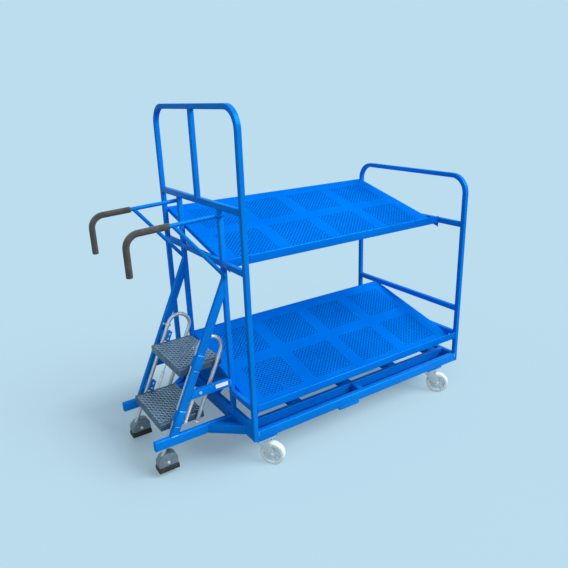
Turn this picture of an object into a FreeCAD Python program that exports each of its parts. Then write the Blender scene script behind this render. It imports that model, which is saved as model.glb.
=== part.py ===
import FreeCAD, Part
import math
import os

os.makedirs("parts", exist_ok=True)
Vector = FreeCAD.Vector

# Order picking trolley, millimetres, +Z up.
# +X runs from the ladder end to the low end, -Y is the side that goods are picked from.
# The origin is on the floor, under the middle of the overall length and width.

# Base frame
frame_length = 1460.0
frame_width = 900.0
rail_height = 50.0
rail_width = 30.0
inner_rail_width = 25.0
inner_rail_gap = 70.0
end_beam_height = 88.0
section_wall = 1.5
section_corner = 2.5
cross_member_count = 4
cross_member_width = 60.0
cross_member_height = 40.0
cross_member_first = 340.0
cross_member_pitch = 345.0
tie_place = 703.0
tie_width = 30.0
mid_bracket_place = 598.0
mid_bracket_length = 135.0
mid_bracket_height = 16.0

# Hoops of square tube at both ends, and their bars
tube = 25.0
hoop_bend_radius = 95.0
tall_hoop_top = 1743.0
low_hoop_top = 1310.0
bar_height = 30.0
crossbar_top = 1313.0

# Sloped shelves
shelf_angle = 15.0
shelf_depth = 730.0
shelf_sheet = 1.5
shelf_lip = 40.0
shelf_flange = 25.0
shelf_fold = 3.0
upper_shelf_front = 1010.0
upper_shelf_setback = 185.0
lower_shelf_front = 322.0
lower_shelf_setback = 4.0
cheek_sheet = 3.0
cheek_drop = 70.0
cheek_taper = 150.0
cheek_lap = 20.0
patch_columns = 4
patch_rows = 2
patch_margin = 84.0
patch_gap = 88.0
slots_per_patch = 3
slot_share = 0.3

# Ladder frame
post_spacing = 450.0
ladder_angle = 65.0
stringer_reach = 321.0
stringer_width = 40.0
outrigger_reach = 424.0
end_cap_length = 8.0
end_cap_corner = 5.0
splay_reach = 145.0
splay_spread = 124.0
brace_height = 40.0
brace_level = 405.0

# Handles
handle_reach = 458.0
handle_radius = 10.0
handle_level = 1262.0
handle_slope = 3.0
handle_bend_radius = 62.0
handle_end_level = 1054.0
handle_tail = 20.0
grip_radius = 15.0
grip_clearance = 0.2
grip_start = 243.0
grip_socket = 90.0
handle_brace_radius = 10.0
handle_brace_start = 228.0
handle_brace_level = 962.0

# Sprung step unit
loop_spacing = 376.0
loop_radius = 10.0
limb_spacing = 125.0
loop_top = 672.0
rear_limb_end = 230.0
front_limb_end = 84.0
limb_cap_length = 8.0
limb_cap_inset = 1.0
lower_tread_level = 268.0
tread_rise = 260.0
tread_depth = 232.0
tread_sheet = 3.0
tread_flange = 36.0
tread_fold = 4.0
nose_overhang = 67.0
step_travel = 28.0
limb_clearance = 0.2
guide_length = 56.0
guide_lip = 2.5
guide_heel = 26.0
guide_heel_inset = 8.0
guide_lift = 32.0
guide_plate_sheet = 3.0
guide_plate_length = 80.0
slide_clearance = 0.3
collar_length = 12.0
collar_wall = 5.0

# Feet
foot_length = 100.0
foot_width = 50.0
foot_forward = 26.0
pad_height = 30.0
pad_overlap = 3.0
housing_sheet = 3.0
housing_toe = 34.0
housing_crown = 62.0
housing_arch = 34.0
housing_folds = 6

# Return struts
strut_radius = 8.0
rod_radius = 4.0
rod_clearance = 0.3
lug_width = 14.0
lug_depth = 18.0
lug_length = 20.0
cylinder_length = 108.0
rod_engagement = 60.0
bore_spare = 10.0
spacer_radius = 7.0
strut_anchor_drop = 25.0

# Casters
wheel_radius = 62.5
wheel_width = 36.0
wheel_side_gap = 2.0
axle_radius = 5.0
axle_clearance = 0.05
caster_height = 155.0
caster_pad_height = 15.0
caster_pad_length = 120.0
caster_pad_setback = 12.0
caster_trail = 45.0
caster_plate_length = 105.0
caster_plate_width = 85.0
caster_plate_thickness = 4.0
caster_bolt_pitch_long = 80.0
caster_bolt_pitch_wide = 60.0
race_radius = 31.0
race_height = 10.0
race_gap = 0.3
crown_thickness = 6.0
fork_sheet = 3.0
fork_boss = 13.0
kingpin_radius = 7.0
kingpin_clearance = 0.05
caster_inset_side = 48.0
caster_inset_ladder = 80.0
caster_inset_low = 183.0
caster_toe = 50.0

# Fasteners
bolt_head_radius = 7.5
bolt_head_height = 5.0
hexagon_sides = 6

# Bent round bars, handle braces, grips, struts and raceways are given this many flat sides
bar_sides = 10

# Places worked out from the sizes above
overall_length = frame_length + handle_reach
ladder_end = handle_reach - overall_length / 2
low_end = ladder_end + frame_length
side = frame_width / 2
rail_bottom = caster_height + caster_pad_height
rail_top = rail_bottom + rail_height
inner_rail_outside = side - rail_width - inner_rail_gap
inner_rail_inside = inner_rail_outside - inner_rail_width
post_outside = post_spacing / 2 + tube / 2
post_inside = post_spacing / 2 - tube / 2
loop_plane = loop_spacing / 2
tread_half = loop_plane - loop_radius
slope = math.radians(ladder_angle)
up_slope = Vector(math.cos(slope), 0, math.sin(slope))
off_slope = Vector(math.sin(slope), 0, -math.cos(slope))
shelf_tilt = math.radians(shelf_angle)
floor_gap = step_travel * math.sin(slope)
upright = Vector(0, 0, 1)
sides = {"near": -1, "far": 1}

# Two edges or directions closer than this are taken as the same
tiny = 1e-6


def stringer_x(level):
    """X of the stringer's middle line, which is also the front limb's, at a height."""
    return ladder_end - stringer_reach + (level - rail_top) / math.tan(slope)


def strut_x(level):
    """X of the line halfway between the front and rear limbs at a height."""
    return stringer_x(level) + limb_spacing / 2 / math.sin(slope)


def save(name, *solids):
    """Write one sub-part, a group of separate solids when there are several."""
    shape = solids[0] if len(solids) == 1 else Part.makeCompound(list(solids))
    shape.exportStep("parts/" + name + ".step")


def block(x_range, y_range, z_range):
    """A box between two values along each axis, in either order."""
    low = Vector(min(x_range), min(y_range), min(z_range))
    high = Vector(max(x_range), max(y_range), max(z_range))
    return Part.makeBox(high.x - low.x, high.y - low.y, high.z - low.z, low)


def rod(start, end, radius):
    """A round bar between two points."""
    return Part.makeCylinder(radius, (end - start).Length, start, end - start)


def polygon_face(points):
    return Part.Face(Part.makePolygon(points + points[:1]))


def face_with_holes(wires):
    """A flat face inside the first wire, open inside the others."""
    return Part.makeFace(wires, "Part::FaceMakerBullseye")


def section_wire(centre, across, upright, width, height, corner=0.0):
    """A rectangle round a point in the plane of two unit vectors, with its corners cut off if asked."""
    half_width = width / 2
    half_height = height / 2
    points = []
    for right, top in ((1, 1), (-1, 1), (-1, -1), (1, -1)):
        on_side = centre + across * right * half_width + upright * top * (half_height - corner)
        on_top = centre + across * right * (half_width - corner) + upright * top * half_height
        if corner == 0:
            points.append(on_side)
        elif right == top:
            points.extend([on_side, on_top])
        else:
            points.extend([on_top, on_side])
    return Part.makePolygon(points + points[:1])


def hollow_section(start, end, upright, width, height):
    """A straight length of rectangular tube, open at both ends."""
    along = (end - start).normalize()
    across = upright.cross(along)
    outer = section_wire(start, across, upright, width, height, section_corner)
    bore = section_wire(start, across, upright, width - 2 * section_wall, height - 2 * section_wall)
    return face_with_holes([outer, bore]).extrude(end - start)


def sweep(path, profile):
    """A solid from a closed profile carried along a wire."""
    shell = Part.BRepOffsetAPI.MakePipeShell(path)
    shell.add(profile)
    shell.setTransitionMode(1)
    shell.build()
    shell.makeSolid()
    return shell.shape()


def rounded_path(points, radius):
    """Straight lines through the points, with an arc of one radius at each bend."""
    edges = []
    start = points[0]
    for before, corner, after in zip(points, points[1:], points[2:]):
        back = (before - corner).normalize()
        onward = (after - corner).normalize()
        half_angle = back.getAngle(onward) / 2
        first = corner + back * (radius / math.tan(half_angle))
        last = corner + onward * (radius / math.tan(half_angle))
        bisector = (back + onward).normalize()
        middle = corner + bisector * (radius / math.sin(half_angle) - radius)
        edges.append(Part.makeLine(start, first))
        edges.append(Part.Arc(first, middle, last).toShape())
        start = last
    edges.append(Part.makeLine(start, points[-1]))
    return Part.Wire(edges)


def many_sided(centre, first, second, radius, count):
    """A regular polygon round a point, its first corner along the first of two unit vectors."""
    points = []
    for step in range(count):
        turn = 2 * math.pi * step / count
        points.append(centre + (first * math.cos(turn) + second * math.sin(turn)) * radius)
    return Part.makePolygon(points + points[:1])


def hexagon(seat, axis, radius, height):
    """A six-sided prism that stands on the seat point."""
    first = axis.cross(Vector(0, 1, 0) if abs(axis.z) > abs(axis.y) else upright).normalize()
    outline = many_sided(seat, first, axis.cross(first), radius, hexagon_sides)
    return Part.Face(outline).extrude(axis * height)


def hex_head(seat, outward):
    return hexagon(seat, outward, bolt_head_radius, bolt_head_height)


# Base frame: two outer rails and two inner rails between the hoops' legs, joined by end beams
rail_start = ladder_end + tube
rail_end = low_end - tube
rail_middle = (rail_bottom + rail_top) / 2
for hand_name, hand in sides.items():
    rail_y = hand * (side - rail_width / 2)
    inner_y = hand * (inner_rail_outside - inner_rail_width / 2)
    save(hand_name + "_side_rail", hollow_section(
        Vector(rail_start, rail_y, rail_middle), Vector(rail_end, rail_y, rail_middle),
        upright, rail_width, rail_height))
    save(hand_name + "_inner_rail", hollow_section(
        Vector(rail_start, inner_y, rail_middle), Vector(rail_end, inner_y, rail_middle),
        upright, inner_rail_width, rail_height))

leg_inside = side - tube
beam_middle = rail_bottom + end_beam_height / 2
save("ladder_end_beam", hollow_section(
    Vector(ladder_end + tube / 2, -leg_inside, beam_middle),
    Vector(ladder_end + tube / 2, leg_inside, beam_middle), upright, tube, end_beam_height))
save("low_end_beam", hollow_section(
    Vector(low_end - tube / 2, -leg_inside, rail_middle),
    Vector(low_end - tube / 2, leg_inside, rail_middle), upright, tube, rail_height))

# Cross-members between the inner rails, and a short tie across the gap outside each inner rail
cross_members = []
member_z = rail_top - cross_member_height / 2
for index in range(cross_member_count):
    member_x = ladder_end + cross_member_first + index * cross_member_pitch
    cross_members.append(hollow_section(
        Vector(member_x, -inner_rail_inside, member_z),
        Vector(member_x, inner_rail_inside, member_z), upright, cross_member_width, cross_member_height))
tie_x = ladder_end + tie_place
for hand in sides.values():
    cross_members.append(hollow_section(
        Vector(tie_x, hand * (side - rail_width), member_z),
        Vector(tie_x, hand * inner_rail_outside, member_z), upright, tie_width, cross_member_height))
save("base_cross_members", *cross_members)

# A flat tube under the rails at mid-length on each side
mid_x = ladder_end + mid_bracket_place
mid_level = rail_bottom - mid_bracket_height / 2
mid_brackets = []
for hand in sides.values():
    mid_brackets.append(hollow_section(
        Vector(mid_x, hand * side, mid_level), Vector(mid_x, hand * inner_rail_inside, mid_level),
        upright, mid_bracket_length, mid_bracket_height))
save("mid_brackets", *mid_brackets)

# Hoops: one bent square tube at each end, with bars between the legs


def hoop(middle_x, top):
    leg = side - tube / 2
    points = [
        Vector(middle_x, -leg, rail_bottom),
        Vector(middle_x, -leg, top - tube / 2),
        Vector(middle_x, leg, top - tube / 2),
        Vector(middle_x, leg, rail_bottom),
    ]
    path = rounded_path(points, hoop_bend_radius)
    along = Vector(1, 0, 0)
    across = Vector(0, 1, 0)
    outer = section_wire(points[0], along, across, tube, tube)
    bore = section_wire(points[0], along, across, tube - 2 * section_wall, tube - 2 * section_wall)
    return sweep(path, outer).cut(sweep(path, bore))


def bar(middle_x, first_y, last_y, top):
    level = top - bar_height / 2
    return hollow_section(
        Vector(middle_x, first_y, level), Vector(middle_x, last_y, level), upright, tube, bar_height)


tall_x = ladder_end + tube / 2
low_x = low_end - tube / 2
shelf_bar_top = upper_shelf_front + bar_height
front_bar_top = lower_shelf_front + shelf_lip + shelf_sheet
rear_bar_top = lower_shelf_front + shelf_depth * math.sin(shelf_tilt) + bar_height / 2
save("tall_hoop", hoop(tall_x, tall_hoop_top))
save("low_hoop", hoop(low_x, low_hoop_top))
save("tall_hoop_crossbar", bar(tall_x, -leg_inside, leg_inside, crossbar_top))
save("tall_hoop_centre_bar", hollow_section(
    Vector(tall_x, 0, crossbar_top), Vector(tall_x, 0, tall_hoop_top - tube),
    Vector(0, 1, 0), tube, tube))
save("tall_hoop_shelf_bar",
     bar(tall_x, -leg_inside, -post_outside, shelf_bar_top),
     bar(tall_x, -post_inside, post_inside, shelf_bar_top),
     bar(tall_x, post_outside, leg_inside, shelf_bar_top))
save("tall_hoop_side_bars",
     bar(tall_x, -leg_inside, -post_outside, front_bar_top),
     bar(tall_x, post_outside, leg_inside, front_bar_top))
save("low_hoop_shelf_bar", bar(low_x, -leg_inside, leg_inside, shelf_bar_top))
save("low_hoop_rear_bar", bar(low_x, -leg_inside, leg_inside, rear_bar_top))
save("low_hoop_front_bar", bar(low_x, -leg_inside, leg_inside, front_bar_top))

# Shelves: a folded sheet with an upright lip round-folded at its low front edge, turned down at
# the ends and the back, and slotted in patches with plain strips between them


def slotted_sheet(length):
    """The flat sheet before it is tilted: X along the shelf, Y up its slope, its top on Z zero."""
    outline = [
        Vector(0, 0, -shelf_sheet), Vector(length, 0, -shelf_sheet),
        Vector(length, shelf_depth, -shelf_sheet), Vector(0, shelf_depth, -shelf_sheet),
    ]
    wires = [Part.makePolygon(outline + outline[:1])]
    patch_length = (length - 2 * patch_margin - (patch_columns - 1) * patch_gap) / patch_columns
    patch_depth = (shelf_depth - 2 * patch_margin - (patch_rows - 1) * patch_gap) / patch_rows
    for column in range(patch_columns):
        for row in range(patch_rows):
            corner_x = patch_margin + column * (patch_length + patch_gap)
            corner_y = patch_margin + row * (patch_depth + patch_gap)
            for slot in range(slots_per_patch):
                slot_x = corner_x + (slot + 0.5) * patch_length / slots_per_patch
                centre = Vector(slot_x, corner_y + patch_depth / 2, -shelf_sheet)
                slot_width = patch_length / slots_per_patch * slot_share
                wires.append(section_wire(
                    centre, Vector(1, 0, 0), Vector(0, 1, 0), slot_width, patch_depth))
    return face_with_holes(wires).extrude(Vector(0, 0, shelf_sheet))


def shelf(first_x, last_x, front_y, front_level):
    """A shelf between two X values, with the top of its sheet meeting the lip at the given level."""
    length = last_x - first_x
    rear_y = front_y + shelf_depth * math.cos(shelf_tilt)
    rear_level = front_level + shelf_depth * math.sin(shelf_tilt)
    drop = shelf_sheet / math.cos(shelf_tilt)
    sheet = slotted_sheet(length)
    sheet.rotate(Vector(0, 0, 0), Vector(1, 0, 0), shelf_angle)
    sheet.translate(Vector(first_x, front_y, front_level))
    lip = block(
        (first_x, last_x), (front_y - shelf_sheet, front_y + shelf_sheet * math.sin(shelf_tilt)),
        (front_level - drop, front_level + shelf_lip))
    back = block(
        (first_x, last_x), (rear_y, rear_y - shelf_sheet),
        (rear_level - shelf_flange, rear_level - drop))
    flange_points = [
        (front_y, front_level - drop), (rear_y - shelf_sheet, rear_level - drop),
        (rear_y - shelf_sheet, rear_level - shelf_flange), (front_y, front_level - shelf_flange),
    ]
    folded = sheet.fuse([lip, back])
    fold_y = front_y + shelf_sheet * math.sin(shelf_tilt)
    fold_edges = [
        edge for edge in folded.Edges
        if abs(edge.CenterOfMass.y - fold_y) < tiny and 0 < edge.CenterOfMass.z - front_level < shelf_sheet]
    folded = folded.makeFillet(shelf_fold, fold_edges)
    for flange_x in (first_x, last_x - shelf_sheet):
        flange = polygon_face([Vector(flange_x, y, z) for y, z in flange_points])
        folded = folded.fuse(flange.extrude(Vector(shelf_sheet, 0, 0)))
    return folded.removeSplitter()


lower_first = ladder_end + tube + cheek_sheet
lower_front_y = -side + lower_shelf_setback
upper_front_y = -side + upper_shelf_setback
save("upper_shelf", shelf(ladder_end + tube, low_end - tube, upper_front_y, upper_shelf_front))
save("lower_shelf", shelf(lower_first, low_end - tube, lower_front_y, lower_shelf_front))

# Cheek: a plate behind the ladder posts and the end beam that carries the ladder end of the lower
# shelf, tapered towards the front
cheek_rear_y = lower_front_y + shelf_depth * math.cos(shelf_tilt)
cheek_rear_z = lower_shelf_front + shelf_depth * math.sin(shelf_tilt)
cheek_bottom = rail_bottom + end_beam_height - cheek_lap
cheek_front_y = lower_front_y + cheek_drop / math.tan(shelf_tilt)
cheek = polygon_face([
    Vector(ladder_end + tube, cheek_front_y + cheek_taper, cheek_bottom),
    Vector(ladder_end + tube, cheek_rear_y, cheek_bottom),
    Vector(ladder_end + tube, cheek_rear_y, cheek_rear_z),
    Vector(ladder_end + tube, cheek_front_y, lower_shelf_front + cheek_drop),
]).extrude(Vector(cheek_sheet, 0, 0))
save("lower_shelf_cheek", cheek)

# Ladder frame: posts under the crossbar, outriggers level with the base, sloped stringers between
# them, a level brace from each stringer to its post, and splayed braces to the base corners
end_beam_top = rail_bottom + end_beam_height
outrigger_end = ladder_end - outrigger_reach
brace_bottom = brace_level - brace_height / 2
brace_top = brace_level + brace_height / 2
stringer_half = stringer_width / 2


def on_side_plane(outline, hand, distance):
    """A face from X and Z pairs, in the upright plane at a distance from the middle."""
    return polygon_face([Vector(x, hand * distance, z) for x, z in outline])


def stringer_outline(half_width):
    across = half_width / math.sin(slope)
    rise = half_width / math.cos(slope)
    foot_x = stringer_x(rail_top)
    head_z = rail_top + stringer_reach * math.tan(slope)
    return [(foot_x - across, rail_top), (foot_x + across, rail_top),
            (ladder_end, head_z - rise), (ladder_end, head_z + rise)]


def stringer(hand):
    """A sloped tube, cut level at the outrigger and upright at the post."""
    body = on_side_plane(stringer_outline(stringer_half), hand, post_inside)
    body = body.extrude(Vector(0, hand * tube, 0))
    long_edges = [
        edge for edge in body.Edges
        if edge.tangentAt(edge.FirstParameter).cross(up_slope).Length < tiny]
    body = body.makeChamfer(section_corner, long_edges)
    bore = on_side_plane(stringer_outline(stringer_half - section_wall), hand, post_inside + section_wall)
    return body.cut(bore.extrude(Vector(0, hand * (tube - 2 * section_wall), 0)))


def stringer_brace(hand):
    """A level tube from the stringer's sloped back to the post."""
    reach = stringer_half / math.sin(slope)
    outline = [(stringer_x(brace_bottom) + reach, brace_bottom), (ladder_end, brace_bottom),
               (ladder_end, brace_top), (stringer_x(brace_top) + reach, brace_top)]
    body = on_side_plane(outline, hand, post_inside).extrude(Vector(0, hand * tube, 0))
    return body.cut(block(
        (ladder_end - stringer_reach, ladder_end),
        (hand * (post_inside + section_wall), hand * (post_outside - section_wall)),
        (brace_bottom + section_wall, brace_top - section_wall)))


def splay_outline(hand, outer_inset, inner_inset):
    """Plan of a splayed brace, its two long sides moved in from the outer side by the insets."""
    splay_length = math.hypot(splay_reach, splay_spread)
    corners = []
    for inset in (outer_inset, inner_inset):
        on_outrigger = (ladder_end - splay_reach + inset * splay_length / splay_spread, post_outside)
        on_beam = (ladder_end, post_outside + splay_spread - inset * splay_length / splay_reach)
        corners.append((on_outrigger, on_beam))
    (first, second), (fourth, third) = corners
    return polygon_face([Vector(x, hand * y, rail_bottom) for x, y in (first, second, third, fourth)])


def splay_brace(hand):
    body = splay_outline(hand, 0, rail_width).extrude(upright * rail_height)
    bore = splay_outline(hand, section_wall, rail_width - section_wall)
    bore = bore.extrude(upright * (rail_height - 2 * section_wall))
    bore.translate(upright * section_wall)
    return body.cut(bore)


def outrigger_cap(hand):
    """The plug in an outrigger's open end, with its outer edges cut off."""
    cap = block(
        (outrigger_end, outrigger_end + end_cap_length), (hand * post_inside, hand * post_outside),
        (rail_bottom, rail_top))
    outer_edges = [edge for edge in cap.Edges if abs(edge.CenterOfMass.x - outrigger_end) < tiny]
    return cap.makeChamfer(end_cap_corner, outer_edges)


for hand_name, hand in sides.items():
    middle_y = hand * post_spacing / 2
    save(hand_name + "_ladder_post", hollow_section(
        Vector(tall_x, middle_y, end_beam_top), Vector(tall_x, middle_y, crossbar_top - bar_height),
        Vector(0, 1, 0), tube, tube))
    save(hand_name + "_outrigger", hollow_section(
        Vector(outrigger_end + end_cap_length, middle_y, rail_middle),
        Vector(ladder_end, middle_y, rail_middle), upright, tube, rail_height))
    save(hand_name + "_stringer", stringer(hand))
save("outrigger_end_caps", *[outrigger_cap(hand) for hand in sides.values()])
save("splay_braces", *[splay_brace(hand) for hand in sides.values()])
save("stringer_braces", *[stringer_brace(hand) for hand in sides.values()])

# Handles: a round bar welded outside each post, a soft grip bent down at its end, and a sloped
# round brace below
handle_lean = math.radians(handle_slope)
handle_tail_x = ladder_end + handle_tail
grip_x = ladder_end - grip_start
grip_drop_x = ladder_end - handle_reach + grip_radius
arm_direction = Vector(-math.cos(handle_lean), 0, -math.sin(handle_lean))


def arm_point(x, y):
    """A point on the middle line of a handle's arm."""
    return Vector(x, y, handle_level - (handle_tail_x - x) * math.tan(handle_lean))


def handle_bar(y):
    """A round bar that runs into the grip's socket."""
    return rod(arm_point(handle_tail_x, y), arm_point(grip_x - grip_socket, y), handle_radius)


def handle_grip(y):
    """A grip bent down at its end, with a square socket for the handle bar."""
    start = arm_point(grip_x, y)
    bend = arm_point(grip_drop_x, y)
    path = rounded_path([start, bend, Vector(grip_drop_x, y, handle_end_level)], handle_bend_radius)
    across = Vector(0, 1, 0)
    upward = arm_direction.cross(across)
    socket_size = 2 * (handle_radius + grip_clearance)
    socket = Part.Face(section_wire(start, across, upward, socket_size, socket_size))
    socket = socket.extrude(arm_direction * (arm_point(grip_x - grip_socket, y) - start).Length)
    return sweep(path, many_sided(start, upward, across, grip_radius, bar_sides)).cut(socket)


def handle_brace(hand):
    brace_y = hand * (post_outside + handle_brace_radius)
    arm_y = hand * (post_outside + handle_radius)
    foot = Vector(ladder_end + tube / 2, brace_y, handle_brace_level)
    top = arm_point(ladder_end - handle_brace_start, brace_y)
    arm = rod(arm_point(handle_tail_x, arm_y), arm_point(grip_x, arm_y), handle_radius)
    along = (top - foot).normalize()
    across = Vector(0, 1, 0)
    section = many_sided(foot, across, along.cross(across), handle_brace_radius, bar_sides)
    return Part.Face(section).extrude(top - foot).cut(arm).Solids[0]


grips = []
for hand_name, hand in sides.items():
    arm_y = hand * (post_outside + handle_radius)
    save(hand_name + "_handle_bar", handle_bar(arm_y))
    grips.append(handle_grip(arm_y))
save("handle_grips", *grips)
save("handle_braces", *[handle_brace(hand) for hand in sides.values()])

# Step unit: two bent round bars that slide in guides on the stringers, two folded treads between
# them, and a shod foot under each front limb
upper_tread_level = lower_tread_level + tread_rise
tread_inside = tread_half - tread_sheet
arch_radius = limb_spacing / 2
arch_level = loop_top - arch_radius - loop_radius
housing_bottom = floor_gap + pad_height
foot_x = stringer_x(housing_bottom + housing_toe) + foot_forward


def front_limb_point(level, y):
    return Vector(stringer_x(level), y, level)


def step_loop(y):
    """A hairpin of round bar: a long front limb, an arch, and a short rear limb."""
    centre = Vector(strut_x(arch_level), y, arch_level)
    first = centre - off_slope * arch_radius
    last = centre + off_slope * arch_radius
    foot = front_limb_point(front_limb_end, y)
    path = Part.Wire([
        Part.makeLine(foot, first),
        Part.Arc(first, centre + up_slope * arch_radius, last).toShape(),
        Part.makeLine(last, rear_limb_foot(y)),
    ])
    return sweep(path, many_sided(foot, Vector(0, 1, 0), off_slope, loop_radius, bar_sides))


def rear_limb_foot(y):
    return Vector(stringer_x(rear_limb_end) + limb_spacing / math.sin(slope), y, rear_limb_end)


def limb_cap(y):
    """The round cap on the lower end of a rear limb."""
    radius = loop_radius - limb_cap_inset
    outline = many_sided(rear_limb_foot(y), Vector(0, 1, 0), off_slope, radius, bar_sides)
    return Part.Face(outline).extrude(up_slope * -limb_cap_length)


def limb_way(start, end, clearance):
    """A square passage round a length of the front limb."""
    size = 2 * (loop_radius + clearance)
    return Part.Face(section_wire(start, Vector(0, 1, 0), off_slope, size, size)).extrude(end - start)


def sloped_plate(centre, length, width, depth):
    """A plate round a point, its length up the slope, raised by the depth vector."""
    corner = centre - up_slope * (length / 2) - off_slope * (width / 2)
    return polygon_face([
        corner, corner + up_slope * length,
        corner + up_slope * length + off_slope * width, corner + off_slope * width,
    ]).extrude(depth)


def slide_guide(hand, tread_level):
    """A channel on the inside of a stringer, open inwards, with a thick heel behind the front limb."""
    level = tread_level + guide_lift
    limb = front_limb_point(level, hand * loop_plane)
    seat = front_limb_point(level, hand * post_inside)
    inward = Vector(0, -hand, 0)
    way_half = loop_radius + slide_clearance
    depth = post_inside - loop_plane
    channel = sloped_plate(
        seat - off_slope * (guide_lip / 2), guide_length, guide_lip + 2 * way_half, inward * depth)
    heel = sloped_plate(
        seat + off_slope * (way_half + guide_heel / 2), guide_length, guide_heel,
        inward * (depth + guide_heel_inset))
    way = limb_way(limb - up_slope * guide_length, limb + up_slope * guide_length, slide_clearance)
    return channel.fuse(heel).cut(way).removeSplitter()


def guide_plate(hand, tread_level):
    """A doubling plate on the outside of a stringer, level with a guide."""
    centre = front_limb_point(tread_level + guide_lift, hand * post_outside)
    plate_width = stringer_width - 2 * section_corner
    return sloped_plate(centre, guide_plate_length, plate_width, Vector(0, hand * guide_plate_sheet, 0))


def stop_collar(y):
    """A square collar on the front limb that meets the upper guide at the end of the travel."""
    guide_top = front_limb_point(upper_tread_level + guide_lift, y) + up_slope * (guide_length / 2)
    start = guide_top + up_slope * (step_travel + slide_clearance)
    end = start + up_slope * collar_length
    return limb_way(start, end, collar_wall).cut(limb_way(start, end, limb_clearance))


def strut_point(level, y):
    return Vector(strut_x(level), y, level)


def strut_lug(centre):
    """The squared end of a strut, through which it is bolted."""
    lug = sloped_plate(centre, lug_length, lug_depth, Vector(0, lug_width, 0))
    lug.translate(Vector(0, -lug_width / 2, 0))
    return lug


anchor_level = lower_tread_level - strut_anchor_drop
cylinder_offset = up_slope * (lug_length / 2 + cylinder_length)


def strut_cylinder(y):
    """A tube bolted to the lower tread, closed at the bottom, which hides the return spring."""
    lower = strut_point(anchor_level, y)
    mouth = lower + cylinder_offset
    shoulder = lower + up_slope * (lug_length / 2)
    section = many_sided(shoulder, Vector(0, 1, 0), off_slope, strut_radius, bar_sides)
    body = Part.Face(section).extrude(mouth - shoulder).fuse(strut_lug(lower))
    bore_end = mouth - up_slope * (rod_engagement + bore_spare)
    return body.cut(rod(mouth, bore_end, rod_radius + rod_clearance)).removeSplitter()


def strut_rod(y):
    """A rod hung from the brace that runs into the strut's tube."""
    upper = strut_point(brace_level, y)
    tip = strut_point(anchor_level, y) + cylinder_offset - up_slope * rod_engagement
    shoulder = upper - up_slope * (lug_length / 2)
    section = many_sided(shoulder, Vector(0, 1, 0), off_slope, rod_radius, bar_sides)
    body = Part.Face(section).extrude(tip - shoulder)
    return body.fuse(strut_lug(upper)).removeSplitter()


def housing_outline(inset):
    """Side of a foot housing: a low toe under the front limb, rising to an arched shoulder."""
    left = foot_x - foot_length / 2 + inset
    right = foot_x + foot_length / 2 - inset
    arch = housing_arch - inset
    arch_centre = Vector(right - arch, 0, housing_bottom + housing_crown - inset - arch)
    points = [
        Vector(right, 0, housing_bottom), Vector(left, 0, housing_bottom),
        Vector(left, 0, housing_bottom + housing_toe - inset),
    ]
    for step in range(housing_folds + 1):
        turn = math.pi * (1 - step / housing_folds)
        points.append(arch_centre + Vector(math.cos(turn), 0, math.sin(turn)) * arch)
    return polygon_face(points)


def foot_housing(y):
    """A folded sheet housing, open below, with a square hole for the front limb."""
    shell = housing_outline(0).extrude(Vector(0, foot_width, 0))
    shell.translate(Vector(0, y - foot_width / 2, 0))
    cavity = housing_outline(housing_sheet).extrude(Vector(0, foot_width - 2 * housing_sheet, 0))
    cavity.translate(Vector(0, y - foot_width / 2 + housing_sheet, 0))
    way = limb_way(front_limb_point(front_limb_end, y), front_limb_point(arch_level, y), limb_clearance)
    return shell.cut(cavity).cut(way)


def tread(level):
    """A pan of folded sheet, open below, with its front and back folds rounded."""
    nose_x = stringer_x(level) - nose_overhang
    back_x = nose_x + tread_depth
    pan = block((nose_x, back_x), (-tread_half, tread_half), (level - tread_flange, level))
    folds = [
        edge for edge in pan.Edges
        if abs(edge.CenterOfMass.z - level) < tiny and abs(edge.CenterOfMass.y) < tiny]
    return pan.makeFillet(tread_fold, folds).cut(block(
        (nose_x + tread_sheet, back_x - tread_sheet), (-tread_inside, tread_inside),
        (level - tread_flange, level - tread_sheet)))


guides = []
guide_plates = []
frame_bolts = []
step_bolts = []
loop_ys = [hand * loop_plane for hand in sides.values()]
for hand_name, hand in sides.items():
    outward = Vector(0, hand, 0)
    loop_y = hand * loop_plane
    save(hand_name + "_step_loop", step_loop(loop_y))
    save(hand_name + "_foot_pad", block(
        (foot_x - foot_length / 2 - pad_overlap, foot_x + foot_length / 2 + pad_overlap),
        (loop_y - foot_width / 2 - pad_overlap, loop_y + foot_width / 2 + pad_overlap),
        (floor_gap, housing_bottom)))
    for level in (lower_tread_level, upper_tread_level):
        guides.append(slide_guide(hand, level))
        guide_plates.append(guide_plate(hand, level))
    lug_inside = hand * (loop_plane - lug_width / 2)
    lug_outside = hand * (loop_plane + lug_width / 2)
    frame_bolts.append(hex_head(strut_point(brace_level, hand * post_outside), outward))
    frame_bolts.append(hex_head(strut_point(brace_level, lug_inside), -outward))
    frame_bolts.append(hexagon(
        strut_point(brace_level, lug_outside), outward, spacer_radius, post_inside - abs(lug_outside)))
    step_bolts.append(hex_head(strut_point(anchor_level, hand * tread_inside), -outward))
    step_bolts.append(hex_head(strut_point(anchor_level, lug_outside), outward))
    step_bolts.append(hexagon(
        strut_point(anchor_level, lug_inside), -outward, spacer_radius, abs(lug_inside) - tread_half))
    for face in (-1, 1):
        foot_seat = Vector(foot_x, loop_y + face * foot_width / 2, housing_bottom + housing_toe / 2)
        step_bolts.append(hex_head(foot_seat, Vector(0, face, 0)))
save("lower_tread", tread(lower_tread_level))
save("upper_tread", tread(upper_tread_level))
save("slide_guides", *guides)
save("guide_plates", *guide_plates)
save("stop_collars", *[stop_collar(y) for y in loop_ys])
save("limb_caps", *[limb_cap(y) for y in loop_ys])
save("strut_cylinders", *[strut_cylinder(y) for y in loop_ys])
save("strut_rods", *[strut_rod(y) for y in loop_ys])
save("foot_housings", *[foot_housing(y) for y in loop_ys])
save("frame_bolts", *frame_bolts)
save("step_bolts", *step_bolts)

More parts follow.
